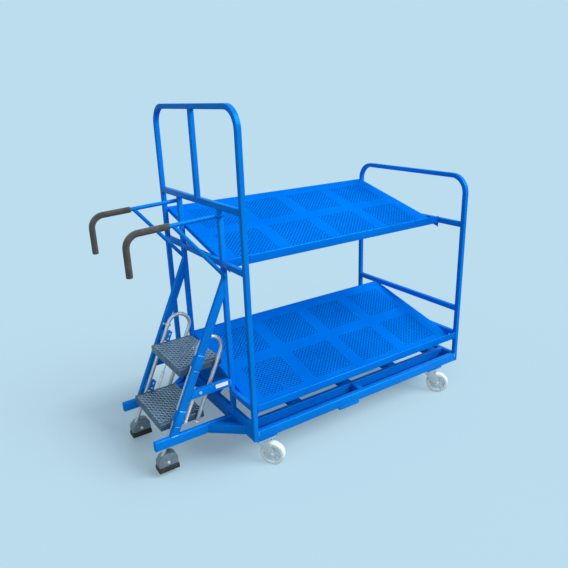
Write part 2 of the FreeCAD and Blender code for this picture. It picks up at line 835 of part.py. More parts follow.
# Casters: a flat tube under the rails, a bolted top plate with its raceway and kingpin, a
# swivelling fork with its axle, and a nylon wheel
caster_places = {
    "near_ladder": (ladder_end + caster_inset_ladder, -1),
    "far_ladder": (ladder_end + caster_inset_ladder, 1),
    "near_low": (low_end - caster_inset_low, -1),
    "far_low": (low_end - caster_inset_low, 1),
}
plate_bottom = caster_height - caster_plate_thickness
race_bottom = plate_bottom - race_height
crown_top = race_bottom - race_gap
crown_bottom = crown_top - crown_thickness
cheek_inside = wheel_width / 2 + wheel_side_gap
fork_half = cheek_inside + fork_sheet


def fork_cheek(inner_y):
    """One side of the fork, wide under the crown and swept back to a squared boss at the axle."""
    boss_half = fork_boss / 2
    outline = [
        (-race_radius, crown_top), (-race_radius, crown_bottom),
        (caster_trail - fork_boss, wheel_radius - boss_half),
        (caster_trail - boss_half, wheel_radius - fork_boss),
        (caster_trail + boss_half, wheel_radius - fork_boss),
        (caster_trail + fork_boss, wheel_radius - boss_half),
        (caster_trail + fork_boss, wheel_radius + boss_half),
        (race_radius, crown_bottom), (race_radius, crown_top),
    ]
    return polygon_face([Vector(x, inner_y, z) for x, z in outline]).extrude(Vector(0, fork_sheet, 0))


def caster_fork():
    """A fork with its wheel trailing towards +X, its swivel line on the Z axis."""
    crown = block((-race_radius, race_radius), (-fork_half, fork_half), (crown_bottom, crown_top))
    axle_start = Vector(caster_trail, -fork_half, wheel_radius)
    axle_end = Vector(caster_trail, fork_half, wheel_radius)
    axle = rod(axle_start, axle_end, axle_radius)
    heads = [hex_head(axle_start, Vector(0, -1, 0)), hex_head(axle_end, Vector(0, 1, 0))]
    fork = crown.fuse([fork_cheek(cheek_inside), fork_cheek(-fork_half), axle] + heads)
    swivel_hole = rod(
        Vector(0, 0, crown_bottom), Vector(0, 0, crown_top), kingpin_radius + kingpin_clearance)
    return fork.cut(swivel_hole).removeSplitter()


def caster_wheel():
    half = Vector(0, wheel_width / 2, 0)
    centre = Vector(caster_trail, 0, wheel_radius)
    tyre = rod(centre - half, centre + half, wheel_radius)
    return tyre.cut(rod(centre - half, centre + half, axle_radius + axle_clearance))


caster_pads = []
caster_plates = []
caster_bolts = []
for place, (caster_x, hand) in caster_places.items():
    caster_y = hand * (side - caster_inset_side)
    swivel = Vector(caster_x, caster_y, 0)
    pad_level = caster_height + caster_pad_height / 2
    caster_pads.append(hollow_section(
        Vector(caster_x, hand * (side - caster_pad_setback), pad_level),
        Vector(caster_x, hand * inner_rail_inside, pad_level),
        upright, caster_pad_length, caster_pad_height))
    plate = block(
        (caster_x - caster_plate_length / 2, caster_x + caster_plate_length / 2),
        (caster_y - caster_plate_width / 2, caster_y + caster_plate_width / 2),
        (plate_bottom, caster_height))
    outline = many_sided(
        swivel + upright * race_bottom, Vector(1, 0, 0), Vector(0, 1, 0), race_radius, bar_sides)
    race = Part.Face(outline).extrude(upright * race_height)
    kingpin = rod(swivel + upright * crown_bottom, swivel + upright * race_bottom, kingpin_radius)
    caster_plates.append(plate.fuse([race, kingpin]).removeSplitter())
    for right in (-1, 1):
        for back in (-1, 1):
            bolt_x = right * caster_bolt_pitch_long / 2
            bolt_y = back * caster_bolt_pitch_wide / 2
            caster_bolts.append(hex_head(swivel + Vector(bolt_x, bolt_y, plate_bottom), -upright))
    for part_name, solid in (("fork", caster_fork()), ("wheel", caster_wheel())):
        solid.rotate(Vector(0, 0, 0), upright, hand * caster_toe)
        solid.translate(swivel)
        save(place + "_caster_" + part_name, solid)
save("caster_pads", *caster_pads)
save("caster_plates", *caster_plates)
save("caster_bolts", *caster_bolts)
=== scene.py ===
import bpy
import bmesh
from math import pi, radians, sin, cos, tan
from mathutils import Matrix, Vector


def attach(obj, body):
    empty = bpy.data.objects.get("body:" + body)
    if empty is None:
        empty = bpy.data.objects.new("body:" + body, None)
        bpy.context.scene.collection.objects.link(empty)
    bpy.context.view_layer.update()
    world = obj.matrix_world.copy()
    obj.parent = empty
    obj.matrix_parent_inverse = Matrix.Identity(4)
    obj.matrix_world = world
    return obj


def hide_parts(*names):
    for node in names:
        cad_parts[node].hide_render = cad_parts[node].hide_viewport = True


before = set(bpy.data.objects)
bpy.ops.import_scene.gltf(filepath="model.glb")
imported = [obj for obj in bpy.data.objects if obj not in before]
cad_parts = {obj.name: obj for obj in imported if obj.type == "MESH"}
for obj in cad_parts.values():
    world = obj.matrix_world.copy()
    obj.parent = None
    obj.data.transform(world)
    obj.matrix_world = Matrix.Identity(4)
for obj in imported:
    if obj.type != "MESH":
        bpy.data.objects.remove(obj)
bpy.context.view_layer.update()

scene = bpy.context.scene
scene.view_settings.view_transform = "Standard"
alongX, alongY, alongZ = Vector((1, 0, 0)), Vector((0, 1, 0)), Vector((0, 0, 1))
hands = {"near": -1, "far": 1}
bothWays = (-1, 1)
nearly = {"merged": 0.000002, "there": 0.0005, "level": 0.9, "decimals": 5}

# ways of working: selecting, drawing a section, running and bending it, turning a profile

def objectMode():
    if bpy.context.object and bpy.context.object.mode != "OBJECT":
        bpy.ops.object.mode_set(mode="OBJECT")
    bpy.ops.object.select_all(action="DESELECT")

def pick(part):
    objectMode()
    part.select_set(True)
    bpy.context.view_layer.objects.active = part

def selectAll():
    bpy.ops.mesh.select_all(action="SELECT")

def edit(part):
    pick(part)
    bpy.ops.object.mode_set(mode="EDIT")
    bpy.ops.mesh.select_mode(type="VERT")
    selectAll()

def middle(item):
    return sum((corner.co for corner in item.verts), Vector()) / len(item.verts)

def isAt(value, target):
    return abs(value - target) < nearly["there"]

def faceUp(face):
    return face.normal.z > nearly["level"]

def faceDown(face):
    return face.normal.z < -nearly["level"]

def choose(part, kind, test):
    bpy.ops.mesh.select_mode(type=kind)
    bpy.ops.mesh.select_all(action="DESELECT")
    mesh = bmesh.from_edit_mesh(part.data)
    for item in {"VERT": mesh.verts, "EDGE": mesh.edges, "FACE": mesh.faces}[kind]:
        if test(item):
            item.select_set(True)
    mesh.select_flush_mode()
    bmesh.update_edit_mesh(part.data)

def push(step):
    bpy.ops.mesh.extrude_region_move(TRANSFORM_OT_translate={"value": step})

def mendMesh(part):
    edit(part)
    bpy.ops.mesh.remove_doubles(threshold=nearly["merged"])
    bpy.ops.mesh.normals_make_consistent(inside=False)
    objectMode()

def modify(part, kind, **settings):
    pick(part)
    step = part.modifiers.new("step", kind)
    for name, value in settings.items():
        setattr(step, name, value)
    bpy.ops.object.modifier_apply(modifier="step")

def soften(part, width, rounds=2, angle=30):
    modify(part, "BEVEL", width=width, segments=rounds, limit_method="ANGLE", angle_limit=radians(angle))

def applyPlace(part):
    pick(part)
    bpy.ops.object.transform_apply(location=True, rotation=True, scale=True)

def moveTo(part, matrix):
    part.matrix_world = matrix
    applyPlace(part)
    return part

def putAt(part, place, heading=None):
    spot = Matrix.Translation(place)
    if heading is not None:
        spot = spot @ Vector(heading).to_track_quat("Z", "Y").to_matrix().to_4x4()
    return moveTo(part, spot)

def twin(part, name):
    other = bpy.data.objects.new(name, part.data.copy())
    scene.collection.objects.link(other)
    return other

def copyTo(part, place, heading=None):
    return putAt(twin(part, part.name + "_copy"), place, heading)

def joinAll(parts, name):
    objectMode()
    for part in parts:
        part.select_set(True)
    bpy.context.view_layer.objects.active = parts[0]
    if len(parts) > 1:
        bpy.ops.object.join()
    parts[0].name = name
    return parts[0]

def drop(*parts):
    for part in parts:
        bpy.data.objects.remove(part)

def fresh(adder, name, **settings):
    objectMode()
    adder(**settings)
    bpy.context.object.name = name
    return bpy.context.object

def block(name, place, size):
    part = fresh(bpy.ops.mesh.primitive_cube_add, name, size=1, location=place)
    part.scale = size
    applyPlace(part)
    return part

# a bar that is drawn as a section, square unless it has sides, and then run and bent like a tube on a bender
class Bar:
    def __init__(self, name, place, heading, width, sides=0, corner=None, side=alongY):
        self.place, self.heading = Vector(place), Vector(heading).normalized()
        side = Vector(side).normalized()
        turn = Matrix((side, self.heading.cross(side), self.heading)).transposed().to_euler()
        spot = {"location": place, "rotation": turn}
        if sides:
            self.part = fresh(bpy.ops.mesh.primitive_circle_add, name, vertices=sides, radius=width / 2,
                              fill_type="NGON", **spot)
        else:
            self.part = fresh(bpy.ops.mesh.primitive_plane_add, name, size=width, **spot)
        applyPlace(self.part)
        edit(self.part)
        if corner:
            bpy.ops.mesh.bevel(offset=corner[0], segments=corner[1], affect="VERTICES")
            selectAll()

    def run(self, length):
        push(self.heading * length)
        self.place = self.place + self.heading * length

    def bend(self, towards, radius, angle, steps):
        towards = Vector(towards).normalized()
        centre = self.place + towards * radius
        bpy.ops.mesh.spin(steps=steps, angle=angle, center=centre, axis=towards.cross(self.heading))
        self.place = centre + (self.heading * sin(angle) - towards * cos(angle)) * radius
        self.heading = (self.heading * cos(angle) + towards * sin(angle)).normalized()

    def close(self, soft=None):
        mendMesh(self.part)
        if soft:
            soften(self.part, *soft)
        return self.part

def rod(name, start, end, width, sides, soft, side=alongY):
    bar = Bar(name, start, end - start, width, sides, side=side)
    bar.run((end - start).length)
    return bar.close(soft)

def drawLine(name, points):
    part = fresh(bpy.ops.mesh.primitive_plane_add, name, size=0.01)
    edit(part)
    bpy.ops.mesh.merge(type="CENTER")
    bpy.ops.transform.translate(value=points[0])
    for before, after in zip(points, points[1:]):
        bpy.ops.mesh.extrude_vertices_move(TRANSFORM_OT_translate={"value": Vector(after) - Vector(before)})
    selectAll()
    return part

# profile points are (distance from the axis, distance along it)
def turned(name, profile, steps):
    part = drawLine(name, [(reach, 0, level) for reach, level in profile])
    bpy.ops.mesh.spin(steps=steps, angle=2 * pi, center=(0, 0, 0), axis=alongZ)
    mendMesh(part)
    return part

# the profile of a ring or, with nothing inside, of a disc, with its outer edges broken
def ringProfile(inside, outside, length, edge):
    profile = [(inside, 0), (outside - edge, 0), (outside, edge), (outside, length - edge),
               (outside - edge, length), (inside, length)]
    return profile + profile[:1] if inside else profile

# a plate from corners in X and Z, each with the radius and steps that round it, if any
def plate(name, corners, deep):
    part = drawLine(name, [(x, 0, z) for x, z, *_ in corners])
    bpy.ops.mesh.edge_face_add()
    for x, z, *bend in corners:
        if bend:
            choose(part, "VERT", lambda corner: (corner.co - Vector((x, 0, z))).length < nearly["there"])
            bpy.ops.mesh.bevel(offset=bend[0], segments=bend[1], affect="VERTICES")
    bpy.ops.mesh.select_mode(type="FACE")
    selectAll()
    push((0, deep, 0))
    mendMesh(part)
    return part

def rectangle(name, left, right, low, high, deep, corner=()):
    outline = ((left, low), (right, low), (right, high), (left, high))
    return plate(name, [(x, z, *corner) for x, z in outline], deep)

def centred(name, wide, tall, deep, corner):
    return rectangle(name, -wide / 2, wide / 2, -tall / 2, tall / 2, deep, corner)

def levelSheet(name, wide, tall, deep, corner, level, soft):
    part = centred(name, wide, tall, deep, corner)
    moveTo(part, Matrix.Translation((0, 0, level)) @ Matrix.Rotation(pi / 2, 4, "X"))
    soften(part, *soft)
    return part

# the first finish all over, the second on the faces that pass the test
def twoFinishes(part, first, second, test):
    for finish in (first, second):
        part.data.materials.append(finish)
    edit(part)
    choose(part, "FACE", test)
    part.active_material_index = 1
    bpy.ops.object.material_slot_assign()
    objectMode()

def dress(part, body, finish, slotName, *nodes, smooth=35):
    pick(part)
    bpy.ops.object.shade_smooth_by_angle(angle=radians(smooth))
    if finish:
        part.data.materials.clear()
        part.data.materials.append(finish)
    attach(part, body)
    if nodes:
        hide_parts(*nodes)
    return part

def dressAll(parts, name, *rest):
    return dress(joinAll(parts, name), *rest)

# shader sums: a wrapped socket, a tree that makes its nodes, and a finish with a tree of its own
class Wire:
    def __init__(self, nodes, socket):
        self.nodes, self.socket = nodes, socket

    def sum(self, kind, first, second):
        return self.nodes.add("Math", {"operation": kind}, {0: first, 1: second})

    def __add__(self, other):
        return self.sum("ADD", self, other)

    def __mul__(self, other):
        return self.sum("MULTIPLY", self, other)

    def __sub__(self, other):
        return self.sum("SUBTRACT", self, other)

    def __rsub__(self, other):
        return self.sum("SUBTRACT", other, self)

    __radd__, __rmul__ = __add__, __mul__

class Nodes:
    def __init__(self, tree):
        self.tree = tree

    def join(self, value, socket):
        if isinstance(value, Wire):
            self.tree.links.new(value.socket, socket)
        else:
            socket.default_value = (*value, 1.0) if socket.type == "RGBA" else value

    def add(self, kind, settings=None, sockets=None, out=0):
        node = self.tree.nodes.new("ShaderNode" + kind)
        for name, value in (settings or {}).items():
            setattr(node, name, value)
        for name, value in (sockets or {}).items():
            self.join(value, node.inputs[name])
        return Wire(self, node.outputs[out])

    # 1 for rays that show a thing to the camera, 0 for rays that only light it
    def seen(self):
        rays = [self.add("LightPath", out=f"Is {kind} Ray") for kind in ("Camera", "Glossy", "Transmission")]
        return rays[0] + rays[1] + rays[2]

class Finish(Nodes):
    def __init__(self, name, **fixed):
        self.material = bpy.data.materials.new(name)
        self.material.use_nodes = True
        super().__init__(self.material.node_tree)
        self.shader = self.tree.nodes["Principled BSDF"]
        self.place = self.add("TexCoord", out="Object")
        self.feed(**fixed)

    def feed(self, **sockets):
        for name, value in sockets.items():
            self.join(value, self.shader.inputs[name.replace("_", " ")])
        return self.material

    def noise(self, scale, detail=3.0, rough=0.5, stretch=None):
        place = self.place
        if stretch:
            place = self.add("Mapping", None, {"Vector": place, "Scale": stretch})
        return self.add("TexNoise", None, {
            "Vector": place, "Scale": scale, "Detail": detail, "Roughness": rough}, "Fac")

    def span(self, value, low, high):
        return self.add("MapRange", None, {"Value": value, "From Min": low, "From Max": high})

    # noise that fades from 0 at one level to 1 at the other
    def patches(self, scale, detail, rough, low, high, stretch=None):
        return self.span(self.noise(scale, detail, rough, stretch), low, high)

    def cells(self, scale, out):
        return self.add("TexVoronoi", None, {"Vector": self.place, "Scale": scale}, out)

    def colour(self, mask, first, second):
        return self.add("Mix", {"data_type": "RGBA"}, {0: mask, 6: first, 7: second}, 2)

    # 1 along outer edges, 0 on open surfaces
    def edges(self, radius, flat=0.985, sharp=0.88):
        rounded = self.add("Bevel", {"samples": 4}, {"Radius": radius})
        plain = self.add("NewGeometry", out="Normal")
        same = self.add("VectorMath", {"operation": "DOT_PRODUCT"}, {0: rounded, 1: plain}, "Value")
        return self.span(same, flat, sharp)

    def bump(self, height, strength, distance):
        return self.add("Bump", None, {"Strength": strength, "Distance": distance, "Height": height})

    def grain(self, look):
        return self.bump(self.noise(*look["grain"]), *look["relief"])

# powder coat: a little tone drift, fine orange peel, dust in specks, and paler rubbed edges
# each coat has a deep, a main and a pale tone
azure = ((0, 0.175, 0.75), (0, 0.215, 0.86), (0.01, 0.34, 0.92))
tubeAzure = ((0.002, 0.185, 0.72), (0.004, 0.228, 0.83), (0.03, 0.42, 0.92))
# darker blues for the inner walls of the shelves' holes: painted shade, darkest for the lower shelf
deepHoleShade = ((0, 0.035, 0.2), (0, 0.045, 0.26), (0, 0.1, 0.45))
paleHoleShade = ((0, 0.08, 0.4), (0, 0.1, 0.48), (0, 0.15, 0.6))
# a paler blue for the lips' hems: a painted highlight along the lips' top edges
hemHighlightAzure = ((0.01, 0.25, 0.84), (0.03, 0.35, 0.92), (0.08, 0.45, 0.95))
# a much paler blue for the weld beads: a painted highlight
weldHighlightAzure = ((0.03, 0.3, 0.86), (0.22, 0.56, 0.95), (0.4, 0.7, 0.98))

# here and below, a pattern is its scale, detail and roughness, and the levels that it fades between
coat = {
    "drift": (2.3, 2.0, 0.5, 0.3, 0.7), "specks": (420.0, 2.0, 0.5, 0.62, 0.74),
    "rub": (38.0, 4.0, 0.6, 0.42, 0.62), "haze": (9.0, 4.0, 0.5, 0.3, 0.7),
    "edge": 0.0022, "dull": 0.12, "grain": (620.0, 2.0), "relief": (0.1, 0.0006),
}

def paintFinish(name, tones, rough, gloss=0, metal=0.36):
    deep, main, pale = tones
    paint = Finish(name, Specular_IOR_Level=gloss, Specular_Tint=pale)
    rubbed = paint.edges(coat["edge"]) * paint.patches(*coat["rub"])
    tone = paint.colour(paint.patches(*coat["drift"]), deep, main)
    tone = paint.colour(paint.patches(*coat["specks"]) * 0.1, tone, pale)
    tone = paint.colour(rubbed * 0.4, tone, pale)
    return paint.feed(
        Base_Color=tone, Metallic=metal - rubbed * metal * 0.5,
        Roughness=rough + (paint.patches(*coat["haze"]) + rubbed) * coat["dull"],
        Normal=paint.grain(coat))

# foam rubber sleeve: open pores, dull, worn paler where hands hold it
foam = {
    "dark": (0.027, 0.027, 0.028), "worn": (0.062, 0.063, 0.065), "pit": (0.02, 0.019, 0.018),
    "mottle": (26.0, 5.0, 0.65, 0.3, 0.72), "pores": 640.0, "pore": (0.05, 0.42), "grain": 150.0,
    "relief": (0.45, 0.0008),
}

def foamFinish():
    sleeve = Finish("grip_foam_rubber", Sheen_Weight=0.25, Sheen_Roughness=0.6)
    pores = sleeve.span(sleeve.cells(foam["pores"], "Distance"), *foam["pore"])
    mottle = sleeve.patches(*foam["mottle"])
    tone = sleeve.colour(mottle, foam["dark"], foam["worn"])
    tone = sleeve.colour((1 - pores) * 0.55, tone, foam["pit"])
    return sleeve.feed(
        Base_Color=tone, Roughness=0.92 - mottle * 0.18,
        Normal=sleeve.bump(pores + sleeve.noise(foam["grain"]) * 0.6, *foam["relief"]))

# galvanised steel: crystal spangle, dull patches and bright edges
zincLook = {
    "patches": (14.0, 4.0, 0.6, 0.35, 0.68), "edge": 0.0016, "grain": (330.0,), "relief": (0.12, 0.0005),
}

def zincFinish(name, pale, dull, metal, spangle):
    zinc = Finish(name)
    tilt = zinc.add("SeparateColor", None, {"Color": zinc.cells(spangle, "Color")})
    patches = zinc.patches(*zincLook["patches"])
    tone = zinc.colour(tilt * 0.45, pale, dull)
    tone = zinc.colour(patches * 0.4, tone, dull)
    tone = zinc.colour(zinc.edges(zincLook["edge"]) * 0.5, tone, pale)
    return zinc.feed(
        Base_Color=tone, Metallic=metal - patches * 0.25, Roughness=0.34 + tilt * 0.16 + patches * 0.08,
        Normal=zinc.grain(zincLook))

# checker plate: dull blue-grey, brighter in scratches and on the edges that shoes polish
checkerLook = {
    "grime": (20.0, 5.0, 0.65, 0.35, 0.7), "scratches": (60.0, 3.0, 0.5, 0.56, 0.7, (1.0, 16.0, 1.0)),
    "scratched": (0.42, 0.5, 0.56), "polished": (0.62, 0.68, 0.72), "edge": 0.0016,
    "grain": (260.0, 4.0), "relief": (0.2, 0.0006),
}

def checkerFinish(name, pale, dull, rough):
    steel = Finish(name)
    grime, polished = steel.patches(*checkerLook["grime"]), steel.edges(checkerLook["edge"])
    tone = steel.colour(grime, pale, dull)
    tone = steel.colour(steel.patches(*checkerLook["scratches"]) * 0.3, tone, checkerLook["scratched"])
    tone = steel.colour(polished * 0.75, tone, checkerLook["polished"])
    return steel.feed(
        Base_Color=tone, Metallic=0.82 - grime * 0.2, Roughness=rough + grime * 0.22 - polished * 0.1,
        Normal=steel.grain(checkerLook))

# moulded nylon: almost white, with faint flow marks, dirt in patches, and darker towards the bottom, below a
# set height
nylonLook = {
    "dirt": (75.0, 5.0, 0.65, 0.5, 0.8), "haze": (40.0, 3.0, 0.5, 0.3, 0.7), "darkeningHeight": 0.03,
    "grain": (300.0,), "relief": (0.08, 0.0005),
}

def nylonFinish(name, clean, dirtAndBottomTone):
    nylon = Finish(name, Subsurface_Weight=0.06, Subsurface_Scale=0.004, Specular_IOR_Level=0.8)
    height = nylon.add("SeparateXYZ", None, {"Vector": nylon.place}, "Z")
    # darker towards the bottom, fading in below a set height above the floor
    low = nylon.span(height, nylonLook["darkeningHeight"], 0)
    tone = nylon.colour((nylon.patches(*nylonLook["dirt"]) + low) * 0.35, clean, dirtAndBottomTone)
    return nylon.feed(
        Base_Color=tone, Roughness=0.36 + nylon.patches(*nylonLook["haze"]) * 0.16,
        Normal=nylon.grain(nylonLook))

# plain metals for bolts and rods
steelLook = {
    "marks": (160.0, 4.0, 0.6, 0.35, 0.7), "edge": 0.0008, "grain": (700.0, 2.0), "relief": (0.08, 0.0003),
}

def steelFinish(name, pale, dull, metal, rough):
    steel = Finish(name)
    marks = steel.patches(*steelLook["marks"])
    tone = steel.colour(marks, pale, dull)
    tone = steel.colour(steel.edges(steelLook["edge"]) * 0.5, tone, pale)
    return steel.feed(
        Base_Color=tone, Metallic=metal - marks * 0.1, Roughness=rough + marks * 0.15,
        Normal=steel.grain(steelLook))

# rubber soles: black under a film of dust
rubberLook = {
    "black": (0.014, 0.014, 0.015), "dusty": (0.075, 0.073, 0.07), "dust": (48.0, 5.0, 0.65, 0.5, 0.78),
    "grain": (420.0, 4.0), "relief": (0.3, 0.0006),
}

def rubberFinish():
    sole = Finish("black_rubber_foot")
    dust = sole.patches(*rubberLook["dust"])
    return sole.feed(
        Base_Color=sole.colour(dust * 0.6, rubberLook["black"], rubberLook["dusty"]),
        Roughness=0.66 + dust * 0.22,
        Normal=sole.grain(rubberLook))

paint = paintFinish("azure_powder_coat", tubeAzure, 0.2, 0.02, 0.12)
sheetPaint = paintFinish("azure_on_sheet", azure, 0.32)
# the hems' paler paint is a painted highlight
hemHighlightPaint = paintFinish("azure_painted_highlight_on_hem", hemHighlightAzure, 0.2, 0.08)
# the welds' pale paint is a painted highlight
weldHighlightPaint = paintFinish("azure_painted_highlight_on_weld", weldHighlightAzure, 0.2, 0.25)
# the holes' inner walls take darker paint, a painted shade inside the holes
holeShadePaint = {"upper_shelf": paintFinish("azure_painted_shade_upper_holes", paleHoleShade, 0.4),
             "lower_shelf": paintFinish("azure_painted_shade_lower_holes", deepHoleShade, 0.4)}
gripFoam = foamFinish()
galvanised = zincFinish("galvanised_bar", (0.66, 0.68, 0.67), (0.42, 0.44, 0.44), 0.85, 70.0)
housingZinc = zincFinish("foot_housing_zinc", (0.22, 0.29, 0.33), (0.11, 0.15, 0.19), 0.6, 90.0)
forkZinc = zincFinish("caster_fork_zinc", (0.66, 0.73, 0.73), (0.5, 0.56, 0.58), 0.8, 110.0)
checker = checkerFinish("checker_plate_steel", (0.1, 0.17, 0.235), (0.05, 0.09, 0.135), 0.42)
# the raised bars take a paler, glossier copy of the plate's finish: a painted highlight on the bars
checkerBarHighlight = checkerFinish("checker_bar_steel_painted_highlight", (0.36, 0.5, 0.61), (0.18, 0.27, 0.36), 0.3)
nylonWhite = nylonFinish("white_nylon_tyre", (0.78, 0.95, 1.0), (0.64, 0.77, 0.82))
nylonHub = nylonFinish("hub_grey_nylon", (0.62, 0.8, 0.94), (0.48, 0.62, 0.74))
brightSteel = steelFinish("bright_plated_steel", (0.86, 0.88, 0.9), (0.7, 0.72, 0.75), 0.95, 0.22)
strutSilver = steelFinish("strut_silver", (0.93, 0.96, 0.97), (0.84, 0.88, 0.9), 0.35, 0.34)
blackSteel = steelFinish("blackened_bolts", (0.045, 0.046, 0.05), (0.018, 0.018, 0.02), 0.5, 0.42)
rubber = rubberFinish()
labelWhite = steelFinish("blank_plate_white", (0.9, 0.92, 0.93), (0.82, 0.84, 0.86), 0, 0.4)
print("finishes made:", len(bpy.data.materials))

# straight tubes: copies of the solids with merged corners and rolled edges
tubes = {
    "edge": 0.0009, "merged": 0.00001, "flat": radians(1),
    "nodes": [
        "near_side_rail", "far_side_rail", "near_inner_rail", "far_inner_rail", "ladder_end_beam",
        "low_end_beam", "base_cross_members", "mid_brackets", "caster_pads", "near_outrigger",
        "far_outrigger", "outrigger_end_caps", "splay_braces", "tall_hoop_centre_bar", "tall_hoop_crossbar",
        "tall_hoop_shelf_bar", "tall_hoop_side_bars", "low_hoop_shelf_bar", "low_hoop_rear_bar",
        "low_hoop_front_bar", "near_ladder_post", "far_ladder_post", "near_stringer", "far_stringer",
        "stringer_braces", "slide_guides", "guide_plates", "lower_shelf_cheek"],
}

def rolledCopy(node):
    part = twin(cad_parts[node], node + "_rolled")
    edit(part)
    bpy.ops.mesh.customdata_custom_splitnormals_clear()
    bpy.ops.mesh.remove_doubles(threshold=tubes["merged"])
    bpy.ops.mesh.dissolve_limited(angle_limit=tubes["flat"])
    soften(part, tubes["edge"])
    return part

for node in tubes["nodes"]:
    dress(rolledCopy(node), "frame", paint, "blue_paint", node, smooth=50)
print("straight tubes:", len(tubes["nodes"]))

# hoops: one square tube each, bent twice; a place is the hoop's X and its top
hoop = {
    "tube": 0.025, "corner": (0.0032, 3), "leg": 0.4375, "foot": 0.17, "bend": 0.095, "steps": 18,
    "places": {"tall_hoop": (-0.4885, 1.743), "low_hoop": (0.9465, 1.31)},
}

def makeHoop(node, x, top):
    bend = (hoop["bend"], pi / 2, hoop["steps"])
    straight = top - hoop["tube"] / 2 - hoop["bend"] - hoop["foot"]
    start = (x, -hoop["leg"], hoop["foot"])
    tube = Bar(node + "_bent", start, alongZ, hoop["tube"], corner=hoop["corner"])
    tube.run(straight)
    tube.bend(alongY, *bend)
    tube.run(2 * (hoop["leg"] - hoop["bend"]))
    tube.bend(-alongZ, *bend)
    tube.run(straight)
    dress(tube.close(), "frame", paint, "blue_paint", node, smooth=40)

for node, place in hoop["places"].items():
    makeHoop(node, *place)
print("hoops bent")

# shelves: a pierced sheet with its lip, back and ends folded; a place is the ends' X and the front's Y and Z
shelf = {
    "cells": (128, 66), "patch": (22, 21), "gap": (8, 8), "margin": (8, 8), "hole": 0.004,
    "roundness": 0.086, "rim": 0.0055, "depth": 0.73, "tilt": radians(15), "sheet": 0.0015, "lip": 0.04,
    "flange": 0.0235, "fold": 0.003, "hem": 0.0022, "hemSoft": (0.0006, 2, 60),
    "places": {"upper_shelf": (-0.476, 0.934, -0.265, 1.01), "lower_shelf": (-0.473, 0.934, -0.446, 0.322)},
}

def insidePatch(index, axis):
    start, patch, gap = (shelf[name][axis] for name in ("margin", "patch", "gap"))
    return start <= index <= shelf["cells"][axis] - start and (index - start) % (patch + gap) <= patch

def edgeSpot(edge):
    return tuple(round(value, nearly["decimals"]) for value in middle(edge))

def onLine(edge, axis, value):
    return all(isAt(corner.co[axis], value) for corner in edge.verts)

def makeShelf(node, start, end, y, z):
    columns, rows = shelf["cells"]
    length, depth, rim = end - start, shelf["depth"], shelf["rim"]
    part = fresh(bpy.ops.mesh.primitive_grid_add, node + "_folded",
                 x_subdivisions=columns, y_subdivisions=rows, size=1)
    part.scale = (length, depth, 1)
    part.location = (length / 2, depth / 2, 0)
    applyPlace(part)

    # every other crossing of the grid in a patch becomes a round hole with its rim turned down
    def pierced(corner):
        column, row = round(corner.co.x / length * columns), round(corner.co.y / depth * rows)
        return (column + row) % 2 == 0 and insidePatch(column, 0) and insidePatch(row, 1)

    edit(part)
    choose(part, "VERT", pierced)
    bpy.ops.mesh.bevel(offset=shelf["hole"], segments=2, profile=shelf["roundness"], affect="VERTICES")
    bpy.ops.mesh.delete(type="FACE")
    outside = ((0, 0), (0, length), (1, 0), (1, depth))
    choose(part, "EDGE", lambda edge: edge.is_boundary and not any(onLine(edge, *line) for line in outside))
    push((0, 0, -rim))
    # the turned-down rims take the darker hole paint, a painted shade inside the holes
    twoFinishes(part, sheetPaint, holeShadePaint[node],
                lambda face: min(corner.co.z for corner in face.verts) < -rim / 2)

    # tilt it into place, then fold the four borders
    moveTo(part, Matrix.Translation((start, y, z)) @ Matrix.Rotation(shelf["tilt"], 4, "X"))
    rear, flange = y + depth * cos(shelf["tilt"]), -shelf["flange"]
    borders = {(1, y): shelf["lip"], (1, rear): flange, (0, start): flange, (0, end): flange}
    edit(part)
    folds = {edgeSpot(edge) for edge in bmesh.from_edit_mesh(part.data).edges
             if any(onLine(edge, *line) for line in borders)}
    for line, height in borders.items():
        choose(part, "EDGE", lambda edge: (
            edge.is_boundary and onLine(edge, *line) and edgeSpot(edge) in folds))
        push((0, 0, height))
    choose(part, "EDGE", lambda edge: not edge.is_boundary and edgeSpot(edge) in folds)
    bpy.ops.mesh.bevel(offset=shelf["fold"], segments=3, affect="EDGES")
    selectAll()
    bpy.ops.mesh.normals_make_consistent(inside=False)
    if sum(face.normal.z * face.calc_area() for face in bmesh.from_edit_mesh(part.data).faces) < 0:
        bpy.ops.mesh.flip_normals()
    modify(part, "SOLIDIFY", thickness=shelf["sheet"], offset=-1.0)
    dress(part, "frame", None, "blue_paint", node, smooth=40)

def makeHem(node, start, end, y, z):
    top = Vector((0, y, z + shelf["lip"]))
    return rod(node + "_hem", top + alongX * start, top + alongX * end, shelf["hem"], 12, shelf["hemSoft"])

for node, place in shelf["places"].items():
    makeShelf(node, *place)
hems = [makeHem(node, *place) for node, place in shelf["places"].items()]
# the hems take the paler paint, a painted highlight on the lips' top edges
dressAll(hems, "lip_hems", "frame", hemHighlightPaint, "blue_paint")
print("shelves pierced and folded")

# handles: a bar with a domed tail, a sloped brace, and a foam sleeve that turns down
handle = {
    "side": 0.2475, "tail": (-0.481, 1.262), "lean": radians(3), "bar": 0.02, "length": 0.3,
    "barSoft": (0.0055, 4, 60), "braceFoot": (-0.4885, 0.962), "braceTop": -0.729, "braceGap": 0.006,
    "braceSoft": (0.003, 3, 60), "grip": 0.03, "gripStart": -0.744, "gripDrop": -0.944, "gripEnd": 1.054,
    "gripBend": 0.062, "gripSteps": 16, "gripSoft": (0.005, 5, 60),
}

def armPoint(x, y):
    tailX, tailZ = handle["tail"]
    return Vector((x, y, tailZ - (tailX - x) * tan(handle["lean"])))

